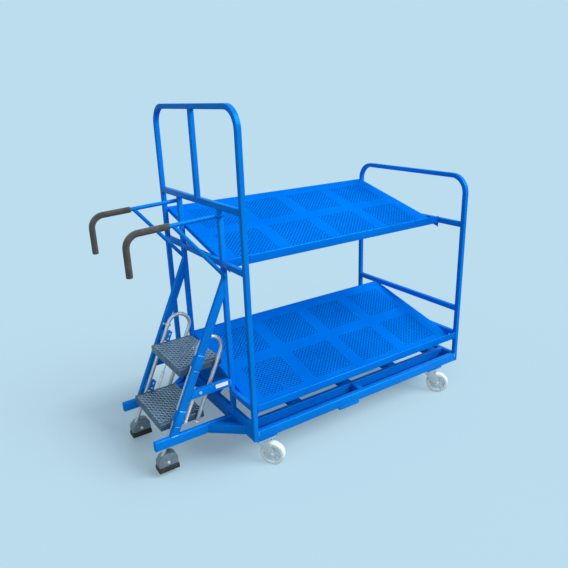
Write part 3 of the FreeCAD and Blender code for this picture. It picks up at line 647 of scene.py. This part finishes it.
def makeHandle(name, hand):
    y, lean, bend = hand * handle["side"], handle["lean"], handle["gripBend"]
    heading = Vector((-cos(lean), 0, -sin(lean)))
    tail = armPoint(handle["tail"][0], y)
    tip = tail + heading * handle["length"]
    arm = rod(name + "_handle_arm", tail, tip, handle["bar"], 28, handle["barSoft"])
    dress(arm, "frame", paint, "blue_paint", name + "_handle_bar")

    low, high = Vector((handle["braceFoot"][0], y, handle["braceFoot"][1])), armPoint(handle["braceTop"], y)
    high = high - (high - low).normalized() * handle["braceGap"]
    stay = rod(name + "_stay", low, high, handle["bar"], 24, handle["braceSoft"])

    start, corner = armPoint(handle["gripStart"], y), armPoint(handle["gripDrop"], y)
    turn = pi / 2 - lean
    spare = bend * tan(turn / 2)
    sleeve = Bar(name + "_sleeve", start, heading, handle["grip"], 32)
    sleeve.run((corner - start).length - spare)
    sleeve.bend((sin(lean), 0, -cos(lean)), bend, turn, handle["gripSteps"])
    sleeve.run(corner.z - spare - handle["gripEnd"])
    return stay, sleeve.close(handle["gripSoft"])

stays, sleeves = zip(*[makeHandle(name, hand) for name, hand in hands.items()])
dressAll(stays, "handle_stays", "frame", paint, "blue_paint", "handle_braces")
grips = dressAll(sleeves, "foam_sleeves", "frame", gripFoam, "grip_foam", "handle_grips")
print("handles made")

# the ladder's slope, shared by the loops, guides, struts and feet
ladder = {
    "foot": (-0.822, 0.22), "slope": radians(65), "loopSide": 0.188, "limbGap": 0.125, "bar": 0.02,
    "barSoft": (0.0012, 2, 60), "bendSteps": 28, "top": 0.672, "frontEnd": 0.084, "rearEnd": 0.23,
    "brace": 0.405, "anchor": 0.243, "treads": {"lower_tread": 0.268, "upper_tread": 0.528},
    "postIn": 0.2125, "postOut": 0.2375, "guideLift": 0.032,
}
upSlope = Vector((cos(ladder["slope"]), 0, sin(ladder["slope"])))
offSlope = Vector((sin(ladder["slope"]), 0, -cos(ladder["slope"])))
atStrut, atRear = 0.5, 1.0

# a point at a level on the front limb, or a share of the way from there to the rear limb
def slopePoint(level, y, share=0):
    footX, footZ = ladder["foot"]
    x = footX + (level - footZ) / tan(ladder["slope"]) + share * ladder["limbGap"] / sin(ladder["slope"])
    return Vector((x, y, level))

def makeLoop(name, hand):
    y, radius = hand * ladder["loopSide"], ladder["limbGap"] / 2
    arch = slopePoint(ladder["top"] - radius - ladder["bar"] / 2, y, atStrut)
    start, end = slopePoint(ladder["frontEnd"], y), slopePoint(ladder["rearEnd"], y, atRear)
    bar = Bar(name + "_loop_bent", start, upSlope, ladder["bar"], 28)
    bar.run((arch - offSlope * radius - start).length)
    bar.bend(offSlope, radius, pi, ladder["bendSteps"])
    bar.run((arch + offSlope * radius - end).length)
    dress(bar.close(ladder["barSoft"]), "step_unit", galvanised, "zinc_plate", name + "_step_loop")

for name, hand in hands.items():
    makeLoop(name, hand)

# caps under the rear limbs, and clamp collars with a pinch bolt on the front limbs
capProfile = [(0, 0), (0.0092, 0), (0.0096, 0.0012), (0.0096, 0.0055), (0.008, 0.0078), (0, 0.0084)]
pinProfile = [
    (0, 0), (0.0032, 0), (0.0032, 0.01), (0.0055, 0.0105), (0.0055, 0.015), (0.0045, 0.016),
    (0, 0.016)]
collar = {
    "ring": (0.0103, 0.015, 0.012, 0.001), "half": 0.006, "lift": 0.0563, "pinSeat": 0.013,
}
cap, pin = turned("limb_cap", capProfile, 24), turned("pin", pinProfile, 16)
ring = turned("collar", ringProfile(*collar["ring"]), 32)
caps, collars = [], []
for hand in hands.values():
    y = hand * ladder["loopSide"]
    caps.append(copyTo(cap, slopePoint(ladder["rearEnd"], y, atRear), -upSlope))
    base = slopePoint(ladder["treads"]["upper_tread"] + ladder["guideLift"], y) + upSlope * collar["lift"]
    centre = base + upSlope * collar["half"]
    collars.append(copyTo(ring, base, upSlope))
    collars.append(copyTo(pin, centre - offSlope * collar["pinSeat"], -offSlope))
drop(cap, pin, ring)
dressAll(caps, "limb_cap_plugs", "step_unit", nylonWhite, "white_nylon", "limb_caps")
dressAll(collars, "clamp_collars", "step_unit", galvanised, "zinc_plate", "stop_collars")
print("loops, caps and collars made")

# treads: folded pans with raised bars pressed into the top
tread = {
    "half": 0.178, "depth": 0.232, "flange": 0.036, "sheet": 0.003, "nose": 0.067, "fold": 0.004,
    "soft": (0.0005, 2, 60), "barLength": 0.0102, "barWidth": 0.0029, "barHeight": 0.0016, "barTop": 0.62,
    "sink": 0.0003, "pitch": 0.016, "count": (7, 10),
}

def makeTread(node, level):
    depth, flange, pitch, height = (tread[name] for name in ("depth", "flange", "pitch", "barHeight"))
    centre = slopePoint(level, 0).x - tread["nose"] + depth / 2
    pan = block(node + "_pan", (centre, 0, level - flange / 2), (depth, 2 * tread["half"], flange))
    edit(pan)
    choose(pan, "FACE", faceDown)
    bpy.ops.mesh.delete(type="FACE")
    choose(pan, "EDGE", lambda edge: isAt(middle(edge).z, level))
    bpy.ops.mesh.bevel(offset=tread["fold"], segments=4, affect="EDGES")
    modify(pan, "SOLIDIFY", thickness=tread["sheet"], offset=-1.0)
    soften(pan, *tread["soft"])

    # four crossed bars make one repeat of the pattern
    repeat = []
    for column, row in ((0, 0), (0, 1), (1, 0), (1, 1)):
        bar = fresh(bpy.ops.mesh.primitive_circle_add, "bar", vertices=8, radius=1, fill_type="NGON")
        bar.scale = (tread["barLength"], tread["barWidth"], 1)
        bar.rotation_euler = (0, 0, -pi / 4 if column == row else pi / 4)
        bar.location = (column * pitch, row * pitch, 0)
        applyPlace(bar)
        edit(bar)
        push((0, 0, height))
        bpy.ops.transform.resize(value=(tread["barTop"], tread["barTop"], 1),
                                 center_override=(column * pitch, row * pitch, height))
        repeat.append(bar)
    pattern = joinAll(repeat, node + "_bars")
    columns, rows = tread["count"]
    for count, way in ((columns, alongX), (rows, alongY)):
        modify(pattern, "ARRAY", count=count, use_relative_offset=False, use_constant_offset=True,
               constant_offset_displace=way * 2 * pitch)
    putAt(pattern, (centre - (columns - 0.5) * pitch, (0.5 - rows) * pitch, level - tread["sink"]))
    mendMesh(pattern)
    pan.data.materials.append(checker)
    # the bars get the paler finish, a painted highlight on the pattern
    pattern.data.materials.append(checkerBarHighlight)
    dressAll([pan, pattern], node + "_pressed", "step_unit", None, "checker_plate", node)

for node, level in ladder["treads"].items():
    makeTread(node, level)
print("treads pressed")

# return struts: a cylinder with end bands, a thin rod, and a rounded eye at each end
strut = {
    "radius": 0.008, "waist": 0.0073, "length": 0.108, "rod": 0.004, "engage": 0.06,
    "eye": (0.02, 0.018, 0.014), "eyeCorner": (0.0075, 5), "eyeSoft": (0.0008, 2, 40),
}

def makeEye(centre):
    along, tall, wide = strut["eye"]
    eye = centred("eye", along, tall, wide, strut["eyeCorner"])
    soften(eye, *strut["eyeSoft"])
    turn = Matrix((upSlope, alongY, -offSlope)).transposed().to_4x4()
    return moveTo(eye, Matrix.Translation(centre - alongY * wide / 2) @ turn)

def makeShell():
    radius, waist, length = strut["radius"], strut["waist"], strut["length"]
    return turned("shell", [
        (0, -0.002), (0.005, -0.002), (0.006, 0), (radius - 0.0006, 0.001), (radius, 0.002),
        (radius, 0.01), (waist, 0.0106), (waist, length - 0.012), (radius, length - 0.0114),
        (radius, length - 0.002), (radius - 0.001, length), (0.0046, length), (0.0046, length - 0.006),
        (0, length - 0.006)], 28)

def makeStem():
    reach = (slopePoint(ladder["brace"], 0) - slopePoint(ladder["anchor"], 0)).length - strut["eye"][0]
    end = reach - strut["length"] + strut["engage"]
    return turned("stem", [
        (0, -0.002), (0.0055, -0.002), (0.0055, 0.006), (0.0048, 0.007), (strut["rod"], 0.0075),
        (strut["rod"], end), (0, end)], 24)

shell, stem = makeShell(), makeStem()
cylinders, rods = [], []
for hand in hands.values():
    y, seat = hand * ladder["loopSide"], upSlope * (strut["eye"][0] / 2)
    upper, lower = (slopePoint(ladder[name], y, atStrut) for name in ("brace", "anchor"))
    cylinders += [copyTo(shell, lower + seat, upSlope), makeEye(lower)]
    rods += [copyTo(stem, upper - seat, -upSlope), makeEye(upper)]
drop(shell, stem)
dressAll(cylinders, "strut_shells", "step_unit", strutSilver, "zinc_plate", "strut_cylinders")
dressAll(rods, "strut_stems", "frame", brightSteel, "zinc_plate", "strut_rods")
print("return struts made")

# feet: an arched sheet housing, outlined from its low front corner, over a flared rubber pad
foot = {
    "middle": -0.85691, "bottom": 0.055377, "floor": 0.025377, "length": 0.1, "width": 0.05,
    "outline": [(0.1, 0), (0, 0), (0, 0.029, 0.006, 3), (0.019, 0.05, 0.009, 4),
                (0.044, 0.062, 0.018, 5), (0.1, 0.062, 0.033, 9)],
    "sheet": 0.003, "housingSoft": (0.0022, 3, 50), "boltLift": 0.017, "flare": 0.003, "skirt": 0.01,
    "grooves": 5, "groove": 0.004, "padSoft": (0.0012, 2, 40),
}

def makeHousing(y):
    part = plate("housing", foot["outline"], foot["width"])
    putAt(part, (foot["middle"] - foot["length"] / 2, y - foot["width"] / 2, foot["bottom"]))
    edit(part)
    choose(part, "FACE", lambda face: faceDown(face) and isAt(middle(face).z, foot["bottom"]))
    bpy.ops.mesh.delete(type="FACE")
    soften(part, *foot["housingSoft"])
    modify(part, "SOLIDIFY", thickness=foot["sheet"], offset=-1.0)
    return part

def makePad(name, y):
    centre, base, top, flare = (foot[key] for key in ("middle", "floor", "bottom", "flare"))
    long, wide = foot["length"] + 2 * flare, foot["width"] + 2 * flare
    part = block(name + "_pad_moulded", (centre, y, (base + top) / 2), (long, wide, top - base))
    edit(part)
    choose(part, "FACE", faceUp)
    bpy.ops.mesh.inset(thickness=flare)
    choose(part, "EDGE", lambda edge: isAt(middle(edge).z, top) and (
        isAt(abs(middle(edge).x - centre), long / 2) or isAt(abs(middle(edge).y - y), wide / 2)))
    bpy.ops.transform.translate(value=(0, 0, -foot["skirt"]))
    # grooves across the sole
    choose(part, "EDGE", lambda edge: isAt(middle(edge).z, base) and isAt(middle(edge).x, centre))
    bpy.ops.mesh.subdivide(number_cuts=2 * foot["grooves"])
    step = long / (2 * foot["grooves"] + 1)
    for index in range(foot["grooves"]):
        x = centre - long / 2 + (2 * index + 1.5) * step
        choose(part, "FACE", lambda face: faceDown(face) and isAt(middle(face).x, x))
        push((0, 0, foot["groove"]))
    mendMesh(part)
    soften(part, *foot["padSoft"])
    dress(part, "step_unit", rubber, "black_rubber", name + "_foot_pad")

housings = [makeHousing(hand * ladder["loopSide"]) for hand in hands.values()]
dressAll(housings, "foot_housing_sheets", "step_unit", housingZinc, "zinc_plate", "foot_housings")
for name, hand in hands.items():
    makePad(name, hand * ladder["loopSide"])
print("feet made")

# bolts: the head's radius over its corners, its height, and the washer's radius
bolts = {
    "strut": (0.0066, 0.005, 0.008), "axle": (0.0085, 0.006, 0.0095), "caster": (0.0075, 0.005, 0.0092),
    "guide": (0.0048, 0.0032, 0.006), "dark": (0.0065, 0.0055, 0.0085),
}
boltShares = {"bevel": 0.22, "rim": 0.18, "dish": 0.08, "bore": 0.6, "washerTop": 0.95}
washerLevels = (0.0008, 0.0013)

def makeBolt(kind):
    radius, height, washer = bolts[kind]
    head = fresh(bpy.ops.mesh.primitive_cylinder_add, "head", vertices=6, radius=radius, depth=height,
                 location=(0, 0, height / 2))
    applyPlace(head)
    edit(head)
    choose(head, "FACE", faceUp)
    bpy.ops.mesh.bevel(offset=height * boltShares["bevel"], segments=2, affect="EDGES")
    choose(head, "FACE", lambda face: faceUp(face) and face.calc_area() > radius * radius)
    bpy.ops.mesh.inset(thickness=radius * boltShares["rim"], depth=-height * boltShares["dish"])
    bore, (shoulder, top) = radius * boltShares["bore"], washerLevels
    disc = turned("washer", [
        (bore, 0), (washer, 0), (washer, shoulder), (washer * boltShares["washerTop"], top), (bore, top),
        (bore, 0)], 20)
    return joinAll([head, disc], kind + "_bolt")

# casters, built with the swivel line on the Z axis and the wheel trailing towards +X
caster = {
    "places": {"near_ladder": (-0.421, -1), "far_ladder": (-0.421, 1), "near_low": (0.776, -1),
               "far_low": (0.776, 1)},
    "side": 0.402, "toe": radians(50), "trail": 0.045, "axle": 0.0625, "top": 0.155, "plate": 0.004,
    "plateSize": (0.105, 0.085), "plateCorner": (0.01, 5), "soft": (0.0007, 2, 40), "bolts": (0.08, 0.06),
    "ribs": 8, "rib": (0.0265, 0.0024, 0.0044), "ribPlace": (0.0305, 0.0112), "ribSoft": (0.0006, 2, 40),
    "hub": (0.0135, 0.0442),
}
fork = {
    "crown": 0.1407, "crownSheet": 0.006, "crownCorner": (0.005, 4), "crownSoft": (0.0018, 3, 40),
    "half": 0.034, "cheekIn": 0.02, "sheet": 0.003, "skirt": 0.004, "skirtRound": (0.01, 5), "boss": 0.018,
    "bossRound": (0.0153, 7), "shoulder": 0.0072, "backRound": (0.006, 4), "frontRound": (0.008, 5),
    "boltSink": 0.0002, "spacerIn": 0.0181,
}
lowerRace = [(0.0075, -0.0002), (0.017, -0.003), (0.021, -0.003), (0.024, 0), (0.0075, -0.0002)]
upperRace = [
    (0, 0), (0.03, 0), (0.031, -0.0015), (0.031, -0.0062), (0.0298, -0.0072), (0.029, -0.0095),
    (0.0278, -0.01), (0.007, -0.01), (0.007, -0.0163), (0.006, -0.0163), (0, -0.0163)]
axleSpacer = [(0.0052, 0), (0.0088, 0), (0.0088, 0.0018), (0.0052, 0.0018), (0.0052, 0)]
halfWheel = [
    (0.0052, -0.018), (0.013, -0.018), (0.0142, -0.017), (0.015, -0.0112), (0.0168, -0.0095),
    (0.0415, -0.0095), (0.0432, -0.0112), (0.0444, -0.016), (0.0456, -0.0172), (0.056, -0.0175),
    (0.0595, -0.0168), (0.0619, -0.0146), (0.0625, -0.0116)]

def makeWheel():
    otherHalf = [(reach, -level) for reach, level in reversed(halfWheel)]
    parts = [turned("tyre", halfWheel + otherHalf + halfWheel[:1], 64)]
    reach, level = caster["ribPlace"]
    for index in range(caster["ribs"]):
        for face in bothWays:
            rib = block("rib", (reach, 0, face * level), caster["rib"])
            soften(rib, *caster["ribSoft"])
            parts.append(moveTo(rib, Matrix.Rotation(index * 2 * pi / caster["ribs"], 4, "Z")))
    part = joinAll(parts, "wheel")
    hubStart, hubEnd = caster["hub"]
    twoFinishes(part, nylonWhite, nylonHub, lambda face: hubStart < middle(face).xy.length < hubEnd)
    axle = Matrix.Translation((caster["trail"], 0, caster["axle"]))
    return moveTo(part, axle @ Matrix.Rotation(-pi / 2, 4, "X"))

def makeFork():
    top, bottom = fork["crown"], fork["crown"] - fork["crownSheet"]
    half, boss, sheet, skirt = fork["half"], fork["boss"], fork["sheet"], bottom - fork["skirt"]
    axle, back, front = caster["axle"], caster["trail"] - boss, caster["trail"] + boss
    outline = [
        (-half, top), (-half, skirt, *fork["skirtRound"]),
        (back, axle - fork["shoulder"], *fork["backRound"]), (back, axle - boss, *fork["bossRound"]),
        (front, axle - boss, *fork["bossRound"]), (front, axle + fork["shoulder"], *fork["frontRound"]),
        (half, skirt, *fork["skirtRound"]), (half, top)]
    wide = fork["cheekIn"] + sheet
    parts = []
    for inner in (fork["cheekIn"], -wide):
        cheek = putAt(plate("cheek", outline, sheet), (0, inner, 0))
        soften(cheek, *caster["soft"])
        parts.append(cheek)
    parts.append(levelSheet("crown", 2 * half, 2 * wide, fork["crownSheet"], fork["crownCorner"], bottom,
                            fork["crownSoft"]))
    parts.append(putAt(turned("lower_race", lowerRace, 32), (0, 0, bottom)))
    axleBolt, ring = makeBolt("axle"), turned("axle_spacer", axleSpacer, 20)
    centre = Vector((caster["trail"], 0, axle))
    for face in bothWays:
        out = alongY * face
        parts.append(copyTo(axleBolt, centre + out * (wide - fork["boltSink"]), out))
        parts.append(copyTo(ring, centre + out * fork["spacerIn"], out))
    drop(axleBolt, ring)
    return joinAll(parts, "fork")

def makeTopPlate():
    base = caster["top"] - caster["plate"]
    sheet = levelSheet("sheet", *caster["plateSize"], caster["plate"], caster["plateCorner"], base,
                       caster["soft"])
    return joinAll([sheet, putAt(turned("race", upperRace, 40), (0, 0, base))], "top_plate")

templates = {"fork": (makeFork(), forkZinc, "zinc_plate"), "wheel": (makeWheel(), None, "white_nylon")}
topPlate, casterBolt = makeTopPlate(), makeBolt("caster")
topPlates, casterBolts = [], []
for place, (x, hand) in caster["places"].items():
    swivel = Vector((x, hand * caster["side"], 0))
    for word, (template, finish, slotName) in templates.items():
        part = twin(template, place + "_" + word + "_cast")
        moveTo(part, Matrix.Translation(swivel) @ Matrix.Rotation(hand * caster["toe"], 4, "Z"))
        dress(part, place + "_" + word, finish, slotName, place + "_caster_" + word)
    topPlates.append(copyTo(topPlate, swivel))
    long, wide = caster["bolts"]
    for right in bothWays:
        for back in bothWays:
            seat = Vector((right * long / 2, back * wide / 2, caster["top"] - caster["plate"]))
            casterBolts.append(copyTo(casterBolt, swivel + seat, -alongZ))
drop(topPlate, casterBolt, *(template for template, *_ in templates.values()))
dressAll(topPlates, "caster_top_plates", "frame", forkZinc, "zinc_plate", "caster_plates")
dressAll(casterBolts, "caster_bolt_heads", "frame", blackSteel, "black_steel", "caster_bolts")
print("casters made")

# bolts of the struts and feet, with the spacers that hold the struts off
hanger = {"spacer": 0.007, "spacerEdge": 0.0005, "eyeSide": 0.007, "treadIn": 0.175}

def spacer(start, length, heading):
    profile = ringProfile(0, hanger["spacer"], length, hanger["spacerEdge"])
    return putAt(turned("spacer", profile, 20), start, heading)

bolt = makeBolt("strut")
frameBolts, stepBolts = [], []
for hand in hands.values():
    out, side = alongY * hand, ladder["loopSide"]
    eyeIn, eyeOut = side - hanger["eyeSide"], side + hanger["eyeSide"]
    brace, anchor = (slopePoint(ladder[name], 0, atStrut) for name in ("brace", "anchor"))
    frameBolts += [
        copyTo(bolt, brace + out * ladder["postOut"], out), copyTo(bolt, brace + out * eyeIn, -out),
        spacer(brace + out * eyeOut, ladder["postIn"] - eyeOut, out)]
    stepBolts += [
        copyTo(bolt, anchor + out * hanger["treadIn"], -out), copyTo(bolt, anchor + out * eyeOut, out),
        spacer(anchor + out * eyeIn, eyeIn - tread["half"], -out)]
    for face in bothWays:
        seat = (foot["middle"], hand * side + face * foot["width"] / 2, foot["bottom"] + foot["boltLift"])
        stepBolts.append(copyTo(bolt, seat, alongY * face))
drop(bolt)
dressAll(frameBolts, "strut_hanger_bolts", "frame", brightSteel, "bright_steel", "frame_bolts")
dressAll(stepBolts, "step_unit_bolts", "step_unit", brightSteel, "bright_steel", "step_bolts")
print("bolts made")

# plugs in the flat tubes' ends (X, Z, width, height, end's Y), and strips under the gaps between the rails
flatTubes = {
    "ends": [(0.097, 0.162, 0.1346, 0.0156, 0.4506), (-0.421, 0.1625, 0.1196, 0.0146, 0.4386),
             (0.776, 0.1625, 0.1196, 0.0146, 0.4386)],
    "deep": 0.003, "corner": (0.003, 4), "plugSoft": (0.0006, 2, 40),
    "strip": (-0.4755, 0.9335, 0.1702, 0.1716), "stripSide": (0.349, 0.421), "stripSoft": (0.0004, 2, 40),
}
plugs, strips = [], []
for hand in hands.values():
    deep, (inner, outer) = flatTubes["deep"], flatTubes["stripSide"]
    for x, z, wide, tall, end in flatTubes["ends"]:
        plug = centred("plug", wide, tall, deep, flatTubes["corner"])
        soften(plug, *flatTubes["plugSoft"])
        plugs.append(putAt(plug, (x, hand * (end - deep / 2) - deep / 2, z)))
    strip = rectangle("strip", *flatTubes["strip"], outer - inner)
    soften(strip, *flatTubes["stripSoft"])
    strips.append(putAt(strip, (0, inner if hand > 0 else -outer, 0)))
dressAll(plugs, "flat_tube_plugs", "frame", paint, "blue_paint")
# the strips take the upper shelf's dark hole paint, a painted shade along the trough
dressAll(strips, "rail_gap_strips", "frame", holeShadePaint["upper_shelf"], "blue_paint")

# a blank plate on the near brace
blankPlate = {"span": (-0.584, -0.517, 0.4, 0.421), "deep": 0.0006, "corner": (0.002, 4)}
blank = rectangle("blank_plate", *blankPlate["span"], blankPlate["deep"], blankPlate["corner"])
putAt(blank, (0, -ladder["postOut"] - blankPlate["deep"], 0))
dress(blank, "frame", labelWhite, "white_nylon")

# weld beads across the guides' ends, along the ladder's feet and posts, and up the hoops' legs
weld = {
    "width": 0.0056, "soft": (0.00196, 2, 60), "proud": 0.0008, "guide": 0.033, "edge": 0.04,
    "footX": (-0.841, -0.803), "post": -0.5012, "postZ": (0.388, 0.422), "legs": (-0.4755, 0.9335),
    "legZ": (0.196, 0.219), "legSide": 0.4502,
}

def weldBead(start, end):
    start, end = Vector(start), Vector(end)
    return rod("bead", start, end, weld["width"], 10, weld["soft"], (end - start).orthogonal())

beads = []
for hand in hands.values():
    y, side = hand * (ladder["postOut"] + weld["proud"]), hand * weld["legSide"]
    half = offSlope * weld["guide"] / 2
    for level in ladder["treads"].values():
        for end in bothWays:
            centre = slopePoint(level + ladder["guideLift"], y) + upSlope * end * weld["edge"]
            beads.append(weldBead(centre - half, centre + half))
    beads.append(weldBead(*((x, y, ladder["foot"][1]) for x in weld["footX"])))
    beads.append(weldBead(*((weld["post"], y, z) for z in weld["postZ"])))
    for x in weld["legs"]:
        beads.append(weldBead(*((x, side, z) for z in weld["legZ"])))
# the beads take the pale paint, a painted highlight along each weld
dressAll(beads, "weld_beads", "frame", weldHighlightPaint, "blue_paint")

# two bolts through each guide's heel, and a dark bolt under each flat tube at mid-length
smallBolts = {"heel": 0.0233, "spread": 0.014, "heelSide": 0.18, "under": (0.045, 0.432, 0.154)}
bolt, darkBolt = makeBolt("guide"), makeBolt("dark")
guideBolts, darkBolts = [], []
for hand in hands.values():
    for level in ladder["treads"].values():
        heel = slopePoint(level + ladder["guideLift"], hand * smallBolts["heelSide"])
        heel = heel + offSlope * smallBolts["heel"]
        for end in bothWays:
            guideBolts.append(copyTo(bolt, heel + upSlope * end * smallBolts["spread"], alongY * -hand))
    x, y, z = smallBolts["under"]
    darkBolts.append(copyTo(darkBolt, (x, hand * y, z), -alongZ))
drop(bolt, darkBolt)
dressAll(guideBolts, "guide_bolt_heads", "frame", brightSteel, "bright_steel")
dressAll(darkBolts, "flat_tube_bolts", "frame", blackSteel, "black_steel")
print("plugs, strips, welds and small bolts made")

# camera, solved from the frame's edges in the photograph
cameraSet = {
    "place": (-1.63276, -2.49456, 1.77811), "turn": (1.240729, 0.033965, -0.589678),
    "lens": 35.549, "sensor": 36.0, "clip": 200.0,
}
objectMode()
bpy.ops.object.camera_add(location=cameraSet["place"], rotation=cameraSet["turn"])
scene.camera = bpy.context.object
scene.camera.data.lens = cameraSet["lens"]
scene.camera.data.sensor_width = cameraSet["sensor"]
scene.camera.data.clip_end = cameraSet["clip"]

# studio: a soft key from the right and front, softer lamps overhead and left, a pale floor and backdrop
studio = {
    "lamps": {"key_lamp": ((0.48, -0.58, 0.66), 2.85, 40), "overhead_lamp": ((0.1, 0.1, 1.0), 0.3, 90),
              "fill_lamp": ((-0.6, -0.7, 0.35), 0.7, 60)},
    "lampReach": 4, "pale": (0.503, 0.723, 0.855), "bounce": (0.12, 0.125, 0.13), "sky": 0.4, "floor": 80,
    "floorLight": 1.2, "centre": (-0.02, 0.22, 0), "half": (0.98, 0.4, 1.0), "under": 0.28, "soft": 0.47,
    "near": 0.3, "far": 1.8,
}
for name, (towards, power, angle) in studio["lamps"].items():
    turn = Vector(towards).to_track_quat("Z", "Y").to_euler()
    lamp = fresh(bpy.ops.object.light_add, name, type="SUN",
                 location=Vector(towards) * studio["lampReach"], rotation=turn)
    lamp.data.energy = power
    lamp.data.angle = radians(angle)

floor = fresh(bpy.ops.mesh.primitive_plane_add, "studio_floor", size=studio["floor"], location=(0, 0, 0))
ground = Finish("pale_floor", Roughness=0.9, Specular_IOR_Level=0.1)

def across(kind, first, second=(0, 0, 0), out=0):
    return ground.add("VectorMath", {"operation": kind}, {0: first, 1: second}, out)

# the farther a spot is outside the trolley's footprint, the more it shows the backdrop's own colour
offset = across("ABSOLUTE", across("SUBTRACT", ground.place, studio["centre"]))
reach = across("LENGTH", across("MAXIMUM", across("SUBTRACT", offset, studio["half"])), out="Value")
fade = (ground.span(reach, 0, studio["near"]) * studio["soft"] + studio["under"]
        + ground.span(reach, studio["near"], studio["far"]) * (1 - studio["soft"] - studio["under"]))
seen = ground.seen()
floorTone = [value / studio["floorLight"] for value in studio["pale"]]
ground.feed(Base_Color=ground.colour(seen, studio["bounce"], floorTone))
glow = ground.add("Emission", None, {"Color": studio["pale"]})
blend = ground.add("MixShader", None, {0: fade * seen, 1: Wire(ground, ground.shader.outputs[0]), 2: glow})
ground.join(blend, ground.tree.nodes["Material Output"].inputs["Surface"])
floor.data.materials.append(ground.material)

# white light from the sky, and the pale backdrop where the camera sees it
scene.world = bpy.data.worlds.new("studio_world")
scene.world.use_nodes = True
sky = Nodes(scene.world.node_tree)
sky.tree.nodes.remove(sky.tree.nodes["Background"])
lit = sky.add("Background", None, {"Color": (1.0, 1.0, 1.0), "Strength": studio["sky"]})
backdrop = sky.add("Background", None, {"Color": studio["pale"]})
blend = sky.add("MixShader", None, {0: sky.seen(), 1: lit, 2: backdrop})
sky.join(blend, sky.tree.nodes["World Output"].inputs["Surface"])
print("camera, lamps, floor and backdrop set")

objectMode()
